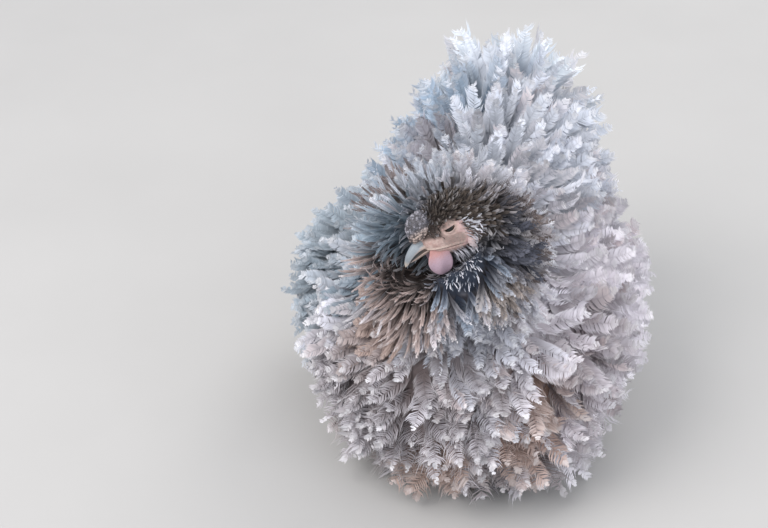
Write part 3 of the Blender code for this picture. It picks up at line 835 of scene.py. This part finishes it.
frondLook = {"uneven": 0.30, "bow": 0.20, "quill": 0.0004}
coat = {
    "candidates": 120000, "seed": 5, "barbs": 38, "ruffGap": 0.0025,
    "tailFrom": (0.055, 0.165), "backFrom": 0.15, "frontEnd": -0.03, "hemTop": 0.075, "sideFrom": 0.03,
    "legRoom": (0.085, -0.105, 0.07, 0.0195),  # half width, front, back and height: no feathers under there
    "ruff": (  # the dark feathers round the face: places and reaches
        ((0.044, -0.086, 0.198), (0.036, 0.038, 0.032)), ((0.000, -0.112, 0.180), (0.030, 0.028, 0.026)),
        ((0.010, -0.084, 0.220), (0.022, 0.020, 0.018)), ((-0.024, -0.064, 0.206), (0.018, 0.018, 0.018)),
    ),
    "faceMiddle": (0.010, 0.0, -0.006),  # in the head's own axes: the ruff's feathers point away from here
    "freeOfFeathers": ((0.020, 0.0, -0.011), (0.028, 0.0125, 0.0190)),  # over bill and wattles
    "throat": (0.0285, -0.1025, 0.192), "throatReach": 0.0155, "throatGap": 0.0014,
    "uprights": ((-0.036, 0.090, 0.222), (-0.028, 0.094, 0.222), (0.002, 0.096, 0.225), (0.008, 0.098, 0.225),
                 (0.030, 0.094, 0.222), (0.055, 0.080, 0.212)),  # the tail's tallest feathers
    "upright": {"length": 0.040, "width": 0.0062, "lift": 1.0, "curl": 0.15, "stray": 0.1, "ragged": 0.34},
    "shortPlace": ((-0.070, -0.085, 0.045), (0.040, 0.040, 0.045)),  # the notch under the right wing
    "special": {  # barbs on a side, and what differs from the table
        "coatThroat": (8, {"length": 0.0046, "width": 0.00034, "lift": 0.50, "curl": 0.4, "stray": 0.34,
                           "fan": 0.5, "quill": 0.00016}),
        "coatRuff": (17, {"bow": 0.16, "frizz": 0.18, "mid": 0.8, "ragged": 0.12}),
        "coatTail": (38, {"curlPower": 2.4}),
        "coatBreast": (27, frondLook), "coatHem": (27, frondLook),
    },
}


def clearOfFace(roots, normals, flows, length):
    good = np.ones(len(roots), bool)
    for share in (0.35, 0.7, 1.0):
        reach = (length * share)[:, None]
        local = toHead(roots + flows * reach * 0.95 + normals * reach * 0.30 * share)
        good &= (reachOf(local, *coat["freeOfFeathers"]) > 1) & (headDistance(local) > 0.0012)
    return good


def bodySpots(skin):
    spots, normals = sampleSurface(skin.data, coat["candidates"], coat["seed"])
    x, y, z = spots.T
    halfWidth, front, back, height = coat["legRoom"]
    overLegs = (np.abs(x) < halfWidth) & (y > front) & (y < back) & (z < height)
    good = (headDistance(toHead(spots)) > 0.0008) & ~overLegs
    spots, normals = spots[good], normals[good]
    ruff = np.min([reachOf(spots, *blob) for blob in coat["ruff"]], axis=0)
    ruff = 1 - smooth(ruff + 0.10 * wave(spots, 0.03, 2.0), 0.85, 1.10)
    ruff = np.maximum(ruff, 1 - smooth(bowlDistance(spots), 0.004, 0.010))
    throat = size(spots - coat["throat"]) < coat["throatReach"]
    gap = lieAt(spots)["gap"] * (1 - ruff) + coat["ruffGap"] * ruff
    gap[throat] = coat["throatGap"]
    kept = scatter(spots, gap)
    return spots[kept], normals[kept], ruff[kept] > 0.5, throat[kept]


def bodyFlows(spots, normals):
    fromFace = laidOn(spots - toWorld([coat["faceMiddle"]])[0], normals)
    nearFace = (1 - smooth(bowlDistance(spots), 0.002, 0.022))[:, None]
    return unit(flowAt(spots, normals) * (1 - nearFace) + fromFace * nearFace)


def ruffLook(spots):
    inner = 1 - smooth(bowlDistance(spots), 0.0, 0.012)
    strand = smooth(-spots[:, 0], -0.030, 0.010)  # narrow strands on the bird's right, soft vanes on its left
    above = smooth(spots[:, 2], 0.200, 0.218)
    return {
        "length": (0.025 + 0.014 * strand) * (1 - 0.35 * inner) * (1 - 0.42 * above),
        "width": (0.0024 - 0.0010 * strand) * (1 - 0.45 * inner), "lift": 0.14 + 0.12 * above,
        "curl": 0.90 + 0.5 * above, "stray": 0.24 - 0.12 * strand + 0.30 * above,
        "open": 0.75 + 0.3 * strand, "fan": 0.40 + 0.12 * strand,
    }


def bodyNumbers(spots, inRuff):
    numbers = lieAt(spots)
    numbers["lift"] += 0.14 * wave(spots, 0.060, 4.0)
    numbers["length"] *= 1 - 0.38 * np.exp(-reachOf(spots, *coat["shortPlace"]) ** 2)
    numbers["length"] = np.where(inRuff, ruffLook(spots)["length"], numbers["length"])
    for place in coat["uprights"]:
        tallest = np.argmin(size(spots - place))
        for key, value in coat["upright"].items():
            numbers[key][tallest] = value
    return numbers


def coverBody(skin, material, throatMaterial):
    spots, normals, inRuff, throat = bodySpots(skin)
    flows = bodyFlows(spots, normals)
    numbers = bodyNumbers(spots, inRuff)
    keep = clearOfFace(spots, normals, flows, numbers["length"]) | throat
    x, y, z = spots.T
    tailY, tailZ = coat["tailFrom"]
    front, side = y < coat["frontEnd"], coat["sideFrom"]
    regions = firstOf({
        "coatThroat": throat, "coatRuff": inRuff, "coatTail": (y > tailY) & (z > tailZ),
        "coatBack": z > coat["backFrom"], "coatBreast": front & (z >= coat["hemTop"]), "coatHem": front,
        "coatLeftSide": x > side, "coatRightSide": x < -side, "coatRump": np.ones(len(x), bool),
    })
    pieces = []
    for i, (name, mask) in enumerate(regions.items()):
        mask = mask & keep
        look = {key: values[mask] for key, values in numbers.items()}
        if name == "coatRuff":
            look.update(ruffLook(spots[mask]))
        barbs, special = coat["special"].get(name, (coat["barbs"], {}))
        look.update(special)
        colouring = throatMaterial if name == "coatThroat" else material
        pieces.append(growFeathers(name, spots[mask], normals[mask], flows[mask], look, barbs,
                                   coat["seed"] + i, colouring))
    return pieces


headCoat = {
    "candidates": 200000, "seed": 40,
    "look": {"open": 1.0, "stations": 5, "quill": 0.00014, "bareBase": 0.2, "frizz": 0.18, "ragged": 0.12},
    "names": ("length", "width", "lift", "curl", "stray", "fan"),
    "kinds": {  # gap, what the names list, and barbs on a side
        "Crown": (0.00092, 0.0074, 0.0006, 0.24, 0.75, 0.50, 0.50, 6),
        "Nape": (0.00145, 0.0125, 0.0010, 0.30, 1.00, 0.50, 0.50, 9),
        "Lores": (0.00085, 0.0026, 0.0004, 0.45, 0.50, 0.50, 0.50, 4),
        "Face": (0.00220, 0.0014, 0.00012, 0.25, 0.30, 0.60, 0.50, 3),
        "Pins": (0.00095, 0.0056, 0.00042, 0.42, 0.60, 0.35, 0.50, 5),
        "Chin": (0.00080, 0.0080, 0.0004, 0.85, 0.30, 0.35, 0.50, 5),
    },
}


def coverHead(skin, materials):
    spots, _ = sampleSurface(skin.data, headCoat["candidates"], headCoat["seed"])
    local = toHead(spots)
    fromEye = local * (1, 0, 1) + np.abs(local) * (0, 1, 0) - eyes["place"]
    clear = size(fromEye) > 0.0066 + 0.0012 * (fromEye[:, 2] < 0)
    good = (np.abs(headDistance(local)) < 0.0018) & clear
    spots, local = spots[good], local[good]
    x, _, z = local.T
    regions = firstOf({
        "Nape": x < -0.0185, "Crown": (z > 0.0085 + 0.45 * np.minimum(0, x + 0.004)) & (x < 0.014),
        "Chin": (z < -0.0130) & (x < 0.006), "Pins": (x < -0.0072) & (z > -0.0150),
        "Lores": (x > 0.0030) & (z > 0.0008) & (x < 0.0135), "Face": np.ones(len(x), bool),
    })
    turned = np.array(headPose.to_3x3()).T
    normals = headNormal(local)
    back = np.stack([-np.ones(len(x)), np.zeros(len(x)), np.where(z < 0, -0.6, -0.15)], axis=-1)
    flows = laidOn(back, normals) @ turned
    normals = normals @ turned
    pieces = []
    for i, (name, mask) in enumerate(regions.items()):
        gap, *values, barbs = headCoat["kinds"][name]
        index = np.flatnonzero(mask)
        kept = index[scatter(spots[index], np.full(len(index), gap))]
        look = {**headCoat["look"], **dict(zip(headCoat["names"], values))}
        pieces.append(growFeathers("coat" + name, spots[kept], normals[kept], flows[kept], look, barbs,
                                   headCoat["seed"] + i, materials.get(name, materials["plumage"])))
    return pieces


# Markings that skin and coat share, with painted shade in the hollow before the face and under the bill: each
# patch has a place, a reach, a root colour and a tip colour
patches = {
    "rightWing": ((-0.11, 0.0, 0.11), (0.078, 0.13, 0.11), (0.15, 0.175, 0.2), (0.36, 0.42, 0.48)),
    "shoulder": ((-0.046, -0.078, 0.178), (0.062, 0.055, 0.055), (0.12, 0.16, 0.2), (0.36, 0.44, 0.52)),
    "buff": ((-0.1, -0.06, 0.055), (0.034, 0.05, 0.034), (0.14, 0.105, 0.07), (0.4, 0.35, 0.28)),
    "leftSide": ((0.11, -0.01, 0.11), (0.075, 0.13, 0.12), (0.54, 0.5, 0.54), (0.94, 0.9, 0.96)),
    "lowSide": ((0.098, -0.056, 0.096), (0.046, 0.056, 0.048), (0.3, 0.25, 0.27), (0.68, 0.635, 0.68)),
    "back": ((0.0, 0.06, 0.21), (0.11, 0.11, 0.07), (0.38, 0.4, 0.45), (0.76, 0.79, 0.87)),
    "backRight": ((-0.048, 0.04, 0.205), (0.044, 0.075, 0.065), (0.19, 0.24, 0.3), (0.4, 0.5, 0.62)),
    "tailTips": ((0.0, 0.11, 0.24), (0.07, 0.05, 0.05), (0.42, 0.47, 0.54), (0.8, 0.86, 0.93)),
    "breast": ((0.0, -0.12, 0.06), (0.1, 0.07, 0.08), (0.13, 0.1, 0.1), (0.52, 0.49, 0.525)),
    "fluff": ((-0.01, -0.12, 0.01), (0.12, 0.08, 0.035), (0.11, 0.064, 0.05), (0.54, 0.47, 0.45)),
    "lowBrown": ((0.025, -0.128, 0.056), (0.02, 0.03, 0.022), (0.2, 0.12, 0.09), (0.54, 0.41, 0.365)),
    "sideBrown": ((0.084, -0.092, 0.108), (0.02, 0.024, 0.02), (0.24, 0.15, 0.12), (0.6, 0.48, 0.44)),
    "midBrown": ((0.074, -0.108, 0.078), (0.024, 0.03, 0.024), (0.22, 0.13, 0.1), (0.56, 0.43, 0.39)),
    # painted shade: near black in the hollow before the face, between the plumage and the head
    "hollow": ((0.018, -0.095, 0.198), (0.026, 0.026, 0.024), (0.006, 0.005, 0.005), (0.05, 0.042, 0.042)),
    "taupe": ((-0.03, 0.004, 0.2), (0.021, 0.022, 0.022), (0.18, 0.16, 0.17), (0.44, 0.43, 0.49)),
    "nape": ((0.006, -0.05, 0.208), (0.04, 0.028, 0.028), (0.2, 0.195, 0.21), (0.52, 0.54, 0.61)),
    "strands": ((-0.026, -0.062, 0.203), (0.022, 0.022, 0.024), (0.04, 0.03, 0.028), (0.24, 0.2, 0.2)),
    "crownBlue": ((-0.004, -0.07, 0.224), (0.017, 0.014, 0.014), (0.22, 0.235, 0.27), (0.46, 0.5, 0.57)),
    "tan": ((-0.022, -0.116, 0.146), (0.036, 0.034, 0.03), (0.075, 0.042, 0.033), (0.44, 0.335, 0.3)),
    "underBib": ((0.036, -0.112, 0.156), (0.03, 0.03, 0.022), (0.09, 0.085, 0.1), (0.42, 0.43, 0.49)),
    "ruffEdge": ((0.044, -0.084, 0.203), (0.034, 0.036, 0.033), (0.018, 0.013, 0.013), (0.2, 0.155, 0.14)),
    "ruffLeft": ((0.04, -0.09, 0.203), (0.027, 0.03, 0.026), (0.007, 0.007, 0.01), (0.115, 0.12, 0.155)),
    "ruffRight": ((0.0, -0.11, 0.18), (0.03, 0.026, 0.022), (0.011, 0.006, 0.005), (0.54, 0.42, 0.39)),
    "dabs": ((0.04, -0.096, 0.187), (0.022, 0.018, 0.013), (0.012, 0.009, 0.01), (0.5, 0.42, 0.38)),
    "throat": ((0.03, -0.104, 0.19), (0.019, 0.017, 0.02), (0.018, 0.026, 0.046), (0.4, 0.47, 0.58)),
    # painted shade under the bill, over its own dark-brown strands
    "underBill": ((0.003, -0.094, 0.174), (0.016, 0.018, 0.013), (0.01, 0.006, 0.005), (0.07, 0.048, 0.042)),
    "crown": ((0.018, -0.092, 0.22), (0.028, 0.02, 0.017), (0.012, 0.008, 0.006), (0.12, 0.092, 0.075)),
}
patchEdges = (0.70, 1.12)
tints = {
    "root": (0.22, 0.21, 0.23), "tip": (0.62, 0.62, 0.69), "warm": (0.56, 0.43, 0.40),
    "paddle": (0.84, 0.83, 0.85), "streak": (0.50, 0.48, 0.49), "quill": (0.72, 0.72, 0.78),
}


def markingsAndPaintedLightGroup():
    group = bpy.data.node_groups.new("plumageMarkings", "ShaderNodeTree")
    for label, kind in (("Place", "Vector"), ("Along", "Float"), ("Out", "Float"), ("Tone", "Float")):
        group.interface.new_socket(label, in_out="INPUT", socket_type="NodeSocket" + kind)
    group.interface.new_socket("Colour", in_out="OUTPUT", socket_type="NodeSocketColor")
    place, along, out, tone, _ = map(Wire, group.nodes.new("NodeGroupInput").outputs)
    spread = (noise(place, 38.0, 3.0, 0.6) - 0.5) * 0.9 + (tone - 0.5) * 0.35
    root, tip = tints["root"], tints["tip"]
    for centre, reach, rootThere, tipThere in patches.values():
        away = vectorNode("DIVIDE", vectorNode("SUBTRACT", place, centre), reach)
        share = falling(vectorNode("LENGTH", away) + spread, *patchEdges)
        root, tip = mixed(share, root, rootThere), mixed(share, tip, tipThere)
    light = makeNode("RGBToBW", tip)
    tip = mixed(rising(noise(place, 62.0), 0.52, 0.66, 0.55) * rising(light, 0.35, 0.60), tip, tints["warm"])
    paling = along * 0.78 + out * 0.38
    colour = mixed(rising(paling, 0.18, 0.88), root, tip)
    colour = mixed(falling(out, 0.0, 0.10, 0.25), colour, root)  # the shaft
    palest = makeNode("Math", rising(along, 0.84, 0.93), rising(out, 0.60, 1.0, 0.75), operation="MAXIMUM")
    colour = mixed(palest * rising(light, 0.32, 0.52, 0.6), colour, tints["paddle"])
    barbShade = noise(makeNode("CombineXYZ", along * 60.0, tone * 97.0, out * 0.6), 1.0, 1.0)
    colour = mixed(falling(barbShade, 0.30, 0.62, 0.42), colour, root)
    # painted highlights and pale streaks: some of the dark feathers carry glinting pale streaks
    glint = rising(tone, 0.60, 0.84) * falling(light, 0.06, 0.34, 0.52)
    colour = mixed(glint * rising(paling, 0.25, 0.80), colour, tints["streak"])
    level = tone * 0.45 + noise(place, 210.0) * 0.40 + 0.55
    colour = makeNode("VectorMath", colour, None, None, level, operation="SCALE")
    feed(group.nodes.new("NodeGroupOutput").inputs[0], colour)
    return group


def plumageMaterial(name, group, pale=0.0):  # pale is the share of pale quills
    material = newMaterial(name, 0.75, Sheen_Weight=0.08, Sheen_Roughness=0.6, Specular_IOR_Level=0.25)
    along, out, tone = apart(attribute(material, "lie"))
    colour = makeNode("Group", attribute(material, "root"), along, out, tone, node_tree=group)
    if pale:
        colour = mixed(rising(tone, 1 - pale - 0.15, 1 - pale + 0.15), colour, tints["quill"])
    return paint(material, colour)


faceColours = {
    "skin": (0.63, 0.42, 0.375), "pale": (0.80, 0.62, 0.56), "pink": (0.78, 0.53, 0.51),
    "lid": (0.36, 0.28, 0.25), "lip": (0.68, 0.54, 0.47), "crease": (0.06, 0.035, 0.03),
    "mottle": (0.15, 0.11, 0.10), "dark": (0.055, 0.040, 0.035), "chin": (0.06, 0.06, 0.08),
}


def skinMaterial(group):
    material = newMaterial("skin", 0.62, Specular_IOR_Level=0.35)
    place = objectPlace(material)
    # the skin between the feathers takes the coat's root colour: the down's own dark colour, with painted
    # shade of the gaps
    downAndGapShade = makeNode("Group", place, 0.10, 0.0, noise(place, 90.0), node_tree=group)
    local = attribute(material, "headLocal")
    x, _, z = apart(local)
    grain = noise(place, 900.0, 3.0, 0.6)
    blotch = noise(place, 260.0, 3.0, 0.6)
    mouth, height = overMouth(x, z), z + x * 0.30
    colour = layered(
        faceColours["skin"], faceColours,
        ("pale", rising(blotch, 0.35, 0.68)), ("dark", rising(grain, 0.52, 0.76, 0.42)),
        ("lip", band(mouth, 0.0004, 0.0009, 0.0014, 0.0030) * 0.85),
        # painted shade: a near-black line in the crease along the mouth
        ("crease", falling(absolute(mouth + 0.0002), 0.0002, 0.0006, 0.75)),
        ("dark", rising(height + blotch * 0.004, 0.0060, 0.0115)),  # the crown
        ("dark", rising(x, 0.0035, 0.0075) * rising(z, -0.0015, 0.0025) * 0.85),  # the lores
        ("dark", rising(z * 0.5 - x, 0.0085, 0.0125, 0.9)),  # painted shade under the quills behind the cheek
    )
    fromEye = vectorNode("DISTANCE", vectorNode("ABSOLUTE", local), tuple(map(abs, eyes["place"])))
    lid = mixed(rising(grain, 0.4, 0.65), faceColours["lid"], faceColours["skin"])
    colour = mixed(falling(fromEye, 0.0058, 0.0072) * 0.6, colour, lid)
    rear = falling(x, -0.0040, -0.0010) * falling(height, 0.0035, 0.0065)
    mottle = rising(blotch, 0.34, 0.60, 0.8)
    colour = layered(
        colour, faceColours,
        ("pink", band(fromEye, 0.0064, 0.0074, 0.0090, 0.0104) * rear * 0.75),  # a ridge behind the eye
        ("mottle", band(fromEye, 0.0098, 0.0112, 0.0140, 0.0170) * rear * mottle),
        ("chin", falling(z, -0.0175, -0.0125, 0.8)),
    )
    colour = mixed(attribute(material, "onHead", "Fac"), downAndGapShade, colour)
    return paint(material, colour, noise(place, 1500.0, 4.0, 0.65), 0.0004, 0.7)


# Comb, wattles, ear lobes, bill and eyes, each over the solid that it stands for

combParts = {
    "place": (0.0170, 0.0, 0.0086), "radii": (0.0103, 0.0086, 0.0082), "slope": math.radians(38),
    "steps": (120, 84), "knob": 0.00085, "knobs": 260, "lumps": 9, "seed": 3,
    "hollow": (0.095, 0.095, 0.115), "high": (0.40, 0.385, 0.435), "warm": (0.58, 0.46, 0.41),
    "furrow": (0.05, 0.045, 0.05), "speck": (0.04, 0.034, 0.037),
}


def makeComb():
    dice = np.random.default_rng(combParts["seed"])
    lumps = unit(dice.normal(size=(combParts["lumps"], 3)))
    knobs = unit(dice.normal(size=(combParts["knobs"], 3)))
    spread = dice.uniform(0.07, 0.13, len(knobs))
    tall = dice.uniform(0.5, 1.2, len(knobs))
    ways = ballWays(*ballGrid(combParts["steps"]), *np.eye(3))
    gaps = np.arccos(np.clip(ways @ knobs.T, -1, 1))
    rise = (np.sqrt(np.maximum(0, 1 - (gaps / spread) ** 2)) * tall).max(axis=-1)
    swell = 0.92 + 0.10 * np.exp((ways @ lumps.T - 1) / 0.10).sum(axis=-1)
    points = ways * (combParts["radii"] * swell[..., None] + (rise * combParts["knob"])[..., None])
    place = Matrix.Translation(combParts["place"]) @ Matrix.Rotation(combParts["slope"], 4, "Y")
    made = closedBall("combCushion", toWorld(moved(points, place)))
    setAttribute(made.data, "knob", np.concatenate([rise[0, :1], rise[1:-1].ravel(), rise[-1, :1]]))
    return made


wattleParts = {
    "top": (0.0122, 0.0058, -0.0092), "radii": (0.0086, 0.0017, 0.0099), "steps": (72, 48),
    "hang": math.radians(27.3) * 0.8, "splay": math.radians(9),
    "warm": (0.60, 0.31, 0.29), "cool": (0.58, 0.42, 0.50), "warmHeight": -0.0140,
}


def makeWattle(name, sign):
    radii = np.array(wattleParts["radii"])
    right, side, up = np.eye(3)
    ways = ballWays(*ballGrid(wattleParts["steps"]), up, right, side)  # rings down the lobe from its top
    points = ways * radii
    low = -points[..., 2] / radii[2]
    points[..., 0] *= 0.90 + 0.14 * low + 0.35 * smooth(-low, 0.35, 1.0)
    x, z = points[..., 0], points[..., 2]
    pebble = 0.00010 * np.sin(x * 5200 + 3 * np.sin(z * 1700)) * np.sin(z * 4700)
    wavy = 0.0006 * np.sin(x * 620 + sign) * smooth(low, -0.6, 0.9)
    points[..., 1] += wavy + pebble * np.sign(ways[..., 1])
    hang = Matrix.Rotation(-wattleParts["hang"], 4, "Y") @ Matrix.Translation((0, 0, -radii[2] * 0.86))
    splay = Matrix.Rotation(sign * wattleParts["splay"], 4, "X")
    place = Matrix.Translation(Vector(wattleParts["top"]) * Vector((1, sign, 1))) @ splay @ hang
    return closedBall(name, toWorld(moved(points, place)))


earParts = {
    "place": (-0.0105, 0.0116, -0.0132), "radii": (0.0044, 0.0021, 0.0064), "steps": (56, 36),
    "warm": (0.72, 0.54, 0.53), "cool": (0.78, 0.68, 0.69), "warmHeight": -0.0125,
}


def makeEar(name, sign):
    right, side, up = np.eye(3)
    ways = ballWays(*ballGrid(earParts["steps"]), up, right, side)
    x, z = ways[..., 0], ways[..., 2]
    fold = 1 + 0.05 * np.sin(z * 16 + 2 * np.sin(x * 5)) + 0.03 * np.sin(x * 21)
    points = ways * earParts["radii"] * fold[..., None]
    return closedBall(name, toWorld(points + np.multiply(earParts["place"], (1, sign, 1))))


bill = {
    "rootX": 0.0098, "tipX": 0.0382, "tipZ": -0.0142, "culmenZ": 0.0016, "halfWidth": 0.0052,
    "mouthZ": -0.0090, "mouthArch": 0.0036, "lowerTipX": 0.0340, "lowerDepth": 0.0036,
    "gap": 0.0003, "open": 0.0026,
    "nostril": (0.42, 0.46, 0.0016, 0.0007),  # share of length, height share, half length and half height
    "flap": (0.0012, 0.0008),  # height over the nostril and half height
    "dark": (0.24, 0.27, 0.30), "light": (0.42, 0.46, 0.50),
    "side": (0.56, 0.44, 0.38), "tip": (0.66, 0.58, 0.50),
}


def billShape(share):
    drop = (1 - share**2.3) ** 0.62
    culmen = bill["tipZ"] + (bill["culmenZ"] - bill["tipZ"]) * drop
    arch = bill["mouthArch"] * math.sin(math.pi * min(1.0, share * 1.1))
    mouth = bill["mouthZ"] + arch - 0.0050 * share**3
    half = bill["halfWidth"] * (1 - share**1.7) ** 0.7 + 0.0004
    return culmen, mouth, half


def billRing(share, y, z, half, floor):
    x = bill["rootX"] + (bill["tipX"] - bill["rootX"]) * share
    floorY = np.linspace(-half, half, 9)[1:-1] * 0.98
    y, z = np.append(y, floorY), np.append(z, np.full(len(floorY), floor))
    return np.stack([np.full(len(y), x), y, z], axis=-1)


def makeUpperBill():
    shares = np.concatenate([np.linspace(0, 0.9, 46), np.linspace(0.915, 0.995, 12)])
    arc = np.linspace(0, math.pi, 41)
    atX, atZ, halfX, halfZ = bill["nostril"]
    rings = []
    for share in shares:
        culmen, mouth, half = billShape(share)
        y = half * np.sign(np.cos(arc)) * np.abs(np.cos(arc)) ** 0.9
        z = mouth + (culmen - mouth) * np.sin(arc) ** 0.92
        # a nostril on each side, with a horn flap over it
        along = (share - atX) * (bill["tipX"] - bill["rootX"]) / halfX
        over = z - mouth - (culmen - mouth) * atZ
        pit = math.exp(-(along**2)) * bell(over, 0, halfZ)
        flap = math.exp(-(along**2) * 0.5) * bell(over, *bill["flap"])
        rings.append(billRing(share, y * (1 - 0.26 * pit + 0.07 * flap), z, half, mouth + 0.0003))
    culmen, mouth, _ = billShape(0.0)
    first = (bill["rootX"], 0, (culmen + mouth) / 2)
    last = (bill["tipX"], 0, bill["tipZ"] - 0.0002)
    return closedRings("upperHorn", toWorld(rings), toWorld(first), toWorld(last))


def makeLowerBill():
    reach = (bill["lowerTipX"] - bill["rootX"]) / (bill["tipX"] - bill["rootX"])
    shares = np.concatenate([np.linspace(0, 0.9, 34), np.linspace(0.92, 0.99, 8)])
    arc = np.linspace(0, math.pi, 31)
    rings = []
    for share in shares:
        _, mouth, _ = billShape(share * reach)
        half = 0.86 * billShape(min(1.0, share * reach * 1.04))[2]
        parted = bill["open"] * math.sin(math.pi * min(1.0, 0.5 * share + 0.5 * share**2))
        top = mouth - bill["gap"] - parted
        deep = bill["lowerDepth"] * math.sqrt(1 - share**2 * 0.94)
        z = top - deep * np.sin(arc)
        rings.append(billRing(share * reach, half * np.cos(arc), z, half, top - 0.0002))
    first = (bill["rootX"], 0, billShape(0.0)[1] - 0.002)
    last = (bill["lowerTipX"], 0, billShape(reach)[1] - 0.0011)
    return closedRings("lowerHorn", toWorld(rings), toWorld(first), toWorld(last))


def makeEye(name, sign):
    centre, outward, along, above = eyeFrame(sign)
    angle, turn = ballGrid((64, 40))
    bulge = 1 + 0.012 * (1 - smooth(angle, 0.5, 0.95))
    ways = ballWays(angle, turn, outward, along, above)
    made = closedBall(name, toWorld(centre + ways * (eyes["radius"] * bulge)[..., None]))
    away = unit(toHead(pointsOf(made.data)) - centre)
    setAttribute(made.data, "fromPupil", np.arccos(np.clip(away @ outward, -1, 1)))
    return made


def eyeMaterial():
    material = newMaterial("wetEye", 0.12, Specular_IOR_Level=0.35, Coat_Weight=0.25, Coat_Roughness=0.03)
    angle = attribute(material, "fromPupil", "Fac")
    pupil, iris = eyes["pupilAngle"], eyes["irisAngle"]
    colour = mixed(noise(objectPlace(material), 2600.0), eyes["irisDark"], eyes["irisLight"])
    colour = mixed(rising(angle, pupil - 0.03, pupil + 0.03), eyes["pupil"], colour)
    return paint(material, mixed(rising(angle, iris - 0.05, iris + 0.05), colour, eyes["rim"]))


def billMaterial():
    material = newMaterial("billHorn", 0.42)
    local = attribute(material, "headLocal")
    x, y, z = apart(local)
    streaks = noise(vectorNode("MULTIPLY", local, (0.35, 1.6, 1.6)), 1500.0, 3.0)
    height = z + x * 0.42 + (streaks - 0.5) * 0.004
    ridge = rising(height - absolute(y) * 1.1, -0.0012, 0.0020)
    colour = mixed(ridge, bill["side"], mixed(streaks, bill["dark"], bill["light"]))
    return paint(material, mixed(rising(x - z, 0.0440, 0.0500), colour, bill["tip"]), streaks, 0.0002, 0.5)


def combMaterial():
    material = newMaterial("combSkin", 0.66)
    place = objectPlace(material)
    grain = noise(place, 1700.0, 3.0, 0.6)
    _, y, z = apart(attribute(material, "headLocal"))
    colour = layered(
        combParts["hollow"], combParts,
        ("high", rising(noise(place, 420.0, 3.0, 0.6), 0.38, 0.64)),
        ("warm", rising(y * 0.9 - (z - 0.0060), 0.0010, 0.0070)),
        # painted shade in the furrows between the knobs
        ("furrow", falling(attribute(material, "knob", "Fac"), 0.05, 0.45, 0.75)),
        ("speck", rising(grain, 0.52, 0.64)),
    )
    return paint(material, colour, grain, 0.0003, 0.8)


def lobeMaterial(name, parts):
    material = newMaterial(name, 0.50)
    place = objectPlace(material)
    grain = noise(place, 2200.0, 3.0, 0.6)
    height = apart(attribute(material, "headLocal"))[2] + (noise(place, 500.0, 3.0, 0.6) - 0.5) * 0.006
    middle, warm = parts["warmHeight"], parts["warm"]
    colour = mixed(rising(height, middle - 0.004, middle + 0.004), parts["cool"], warm)
    colour = mixed(rising(grain, 0.5, 0.7, 0.35), colour, times(warm, 0.45))
    return paint(material, colour, grain, 0.00025, 0.7)


legs = {  # low and high colour, scale and roughness
    "shank": ((0.10, 0.11, 0.12), (0.24, 0.26, 0.29), 420.0, 0.55),
    "claw": ((0.20, 0.18, 0.17), (0.32, 0.30, 0.28), 900.0, 0.40),
}


def scaleMaterial(name, low, high, scale, roughness):
    material = newMaterial(name, roughness)
    place = objectPlace(material)
    edges = falling(makeNode("TexVoronoi", place, None, scale, output="Distance"), 0.15, 0.75)
    dirt = rising(noise(place, 160.0, 3.0), 0.45, 0.75, 0.5)
    return paint(material, mixed(dirt, mixed(edges, low, high), times(low, 0.4)), edges, 0.0006, 0.8)


def settle(piece, slot, *replaced):
    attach(piece, "root")
    if replaced:
        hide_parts(*replaced)


fleshNodes = (
    "head", "neck", "breast", "trunk", "tail", "wing_left", "wing_right", "thigh_left", "thigh_right",
)

aimCamera()
lightStage()
say("camera and stage")
markingsAndPaintedLight = markingsAndPaintedLightGroup()
plumage = plumageMaterial("plumage", markingsAndPaintedLight)
skin = makeSkin()
skin.data.materials.append(skinMaterial(markingsAndPaintedLight))
settle(skin, "face_skin", *fleshNodes)
say("skin", len(skin.data.polygons), "triangles")

horn = billMaterial()
headPieces = {
    "comb": (makeComb(), combMaterial(), "comb_skin"),
    "upper_bill": (makeUpperBill(), horn, "bill_horn"), "lower_bill": (makeLowerBill(), horn, "bill_horn"),
}
pairs = {
    "wattle": ("wattle", makeWattle, lobeMaterial("wattleSkin", wattleParts), "lobe_skin"),
    "ear_lobe": ("earLobe", makeEar, lobeMaterial("earSkin", earParts), "lobe_skin"),
    "eye": ("eye", makeEye, eyeMaterial(), "eye_wet"),
}
for node, (name, make, material, slot) in pairs.items():
    for side, sign in (("Left", 1), ("Right", -1)):
        headPieces[node + "_" + side.lower()] = (make(name + side, sign), material, slot)
for node, (piece, material, slot) in headPieces.items():
    setAttribute(piece.data, "headLocal", toHead(pointsOf(piece.data)))
    piece.data.materials.append(material)
    settle(piece, slot, node)
say("head pieces")

paleQuills = plumageMaterial("paleQuills", markingsAndPaintedLight, 0.60)
bodyCoat = coverBody(skin, plumage, plumageMaterial("throatQuills", markingsAndPaintedLight, 0.45))
headFeathers = coverHead(skin, {
    "plumage": plumage, "Pins": paleQuills, "Chin": paleQuills,
    "Face": plainMaterial("faceQuills", (0.62, 0.48, 0.42), 0.7),
})
coatSlots = {"coatRuff": "plumage_neck", "coatTail": "plumage_tail",
             "coatBreast": "plumage_breast", "coatHem": "plumage_breast"}
for piece in (*bodyCoat, *headFeathers):
    settle(piece, coatSlots.get(piece.name, "plumage_body"))

legScales = scaleMaterial("legScales", *legs["shank"])
clawHorn = scaleMaterial("clawHorn", *legs["claw"])
for name, node in frame["nodes"].items():
    kind = name.split("_")[0]
    if kind in ("shank", "foot", "claw"):
        node.data.materials.clear()
        node.data.materials.append(clawHorn if kind == "claw" else legScales)

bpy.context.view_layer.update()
say("triangles in all", triangleCount(o for o in bpy.data.objects if o.type == "MESH"))
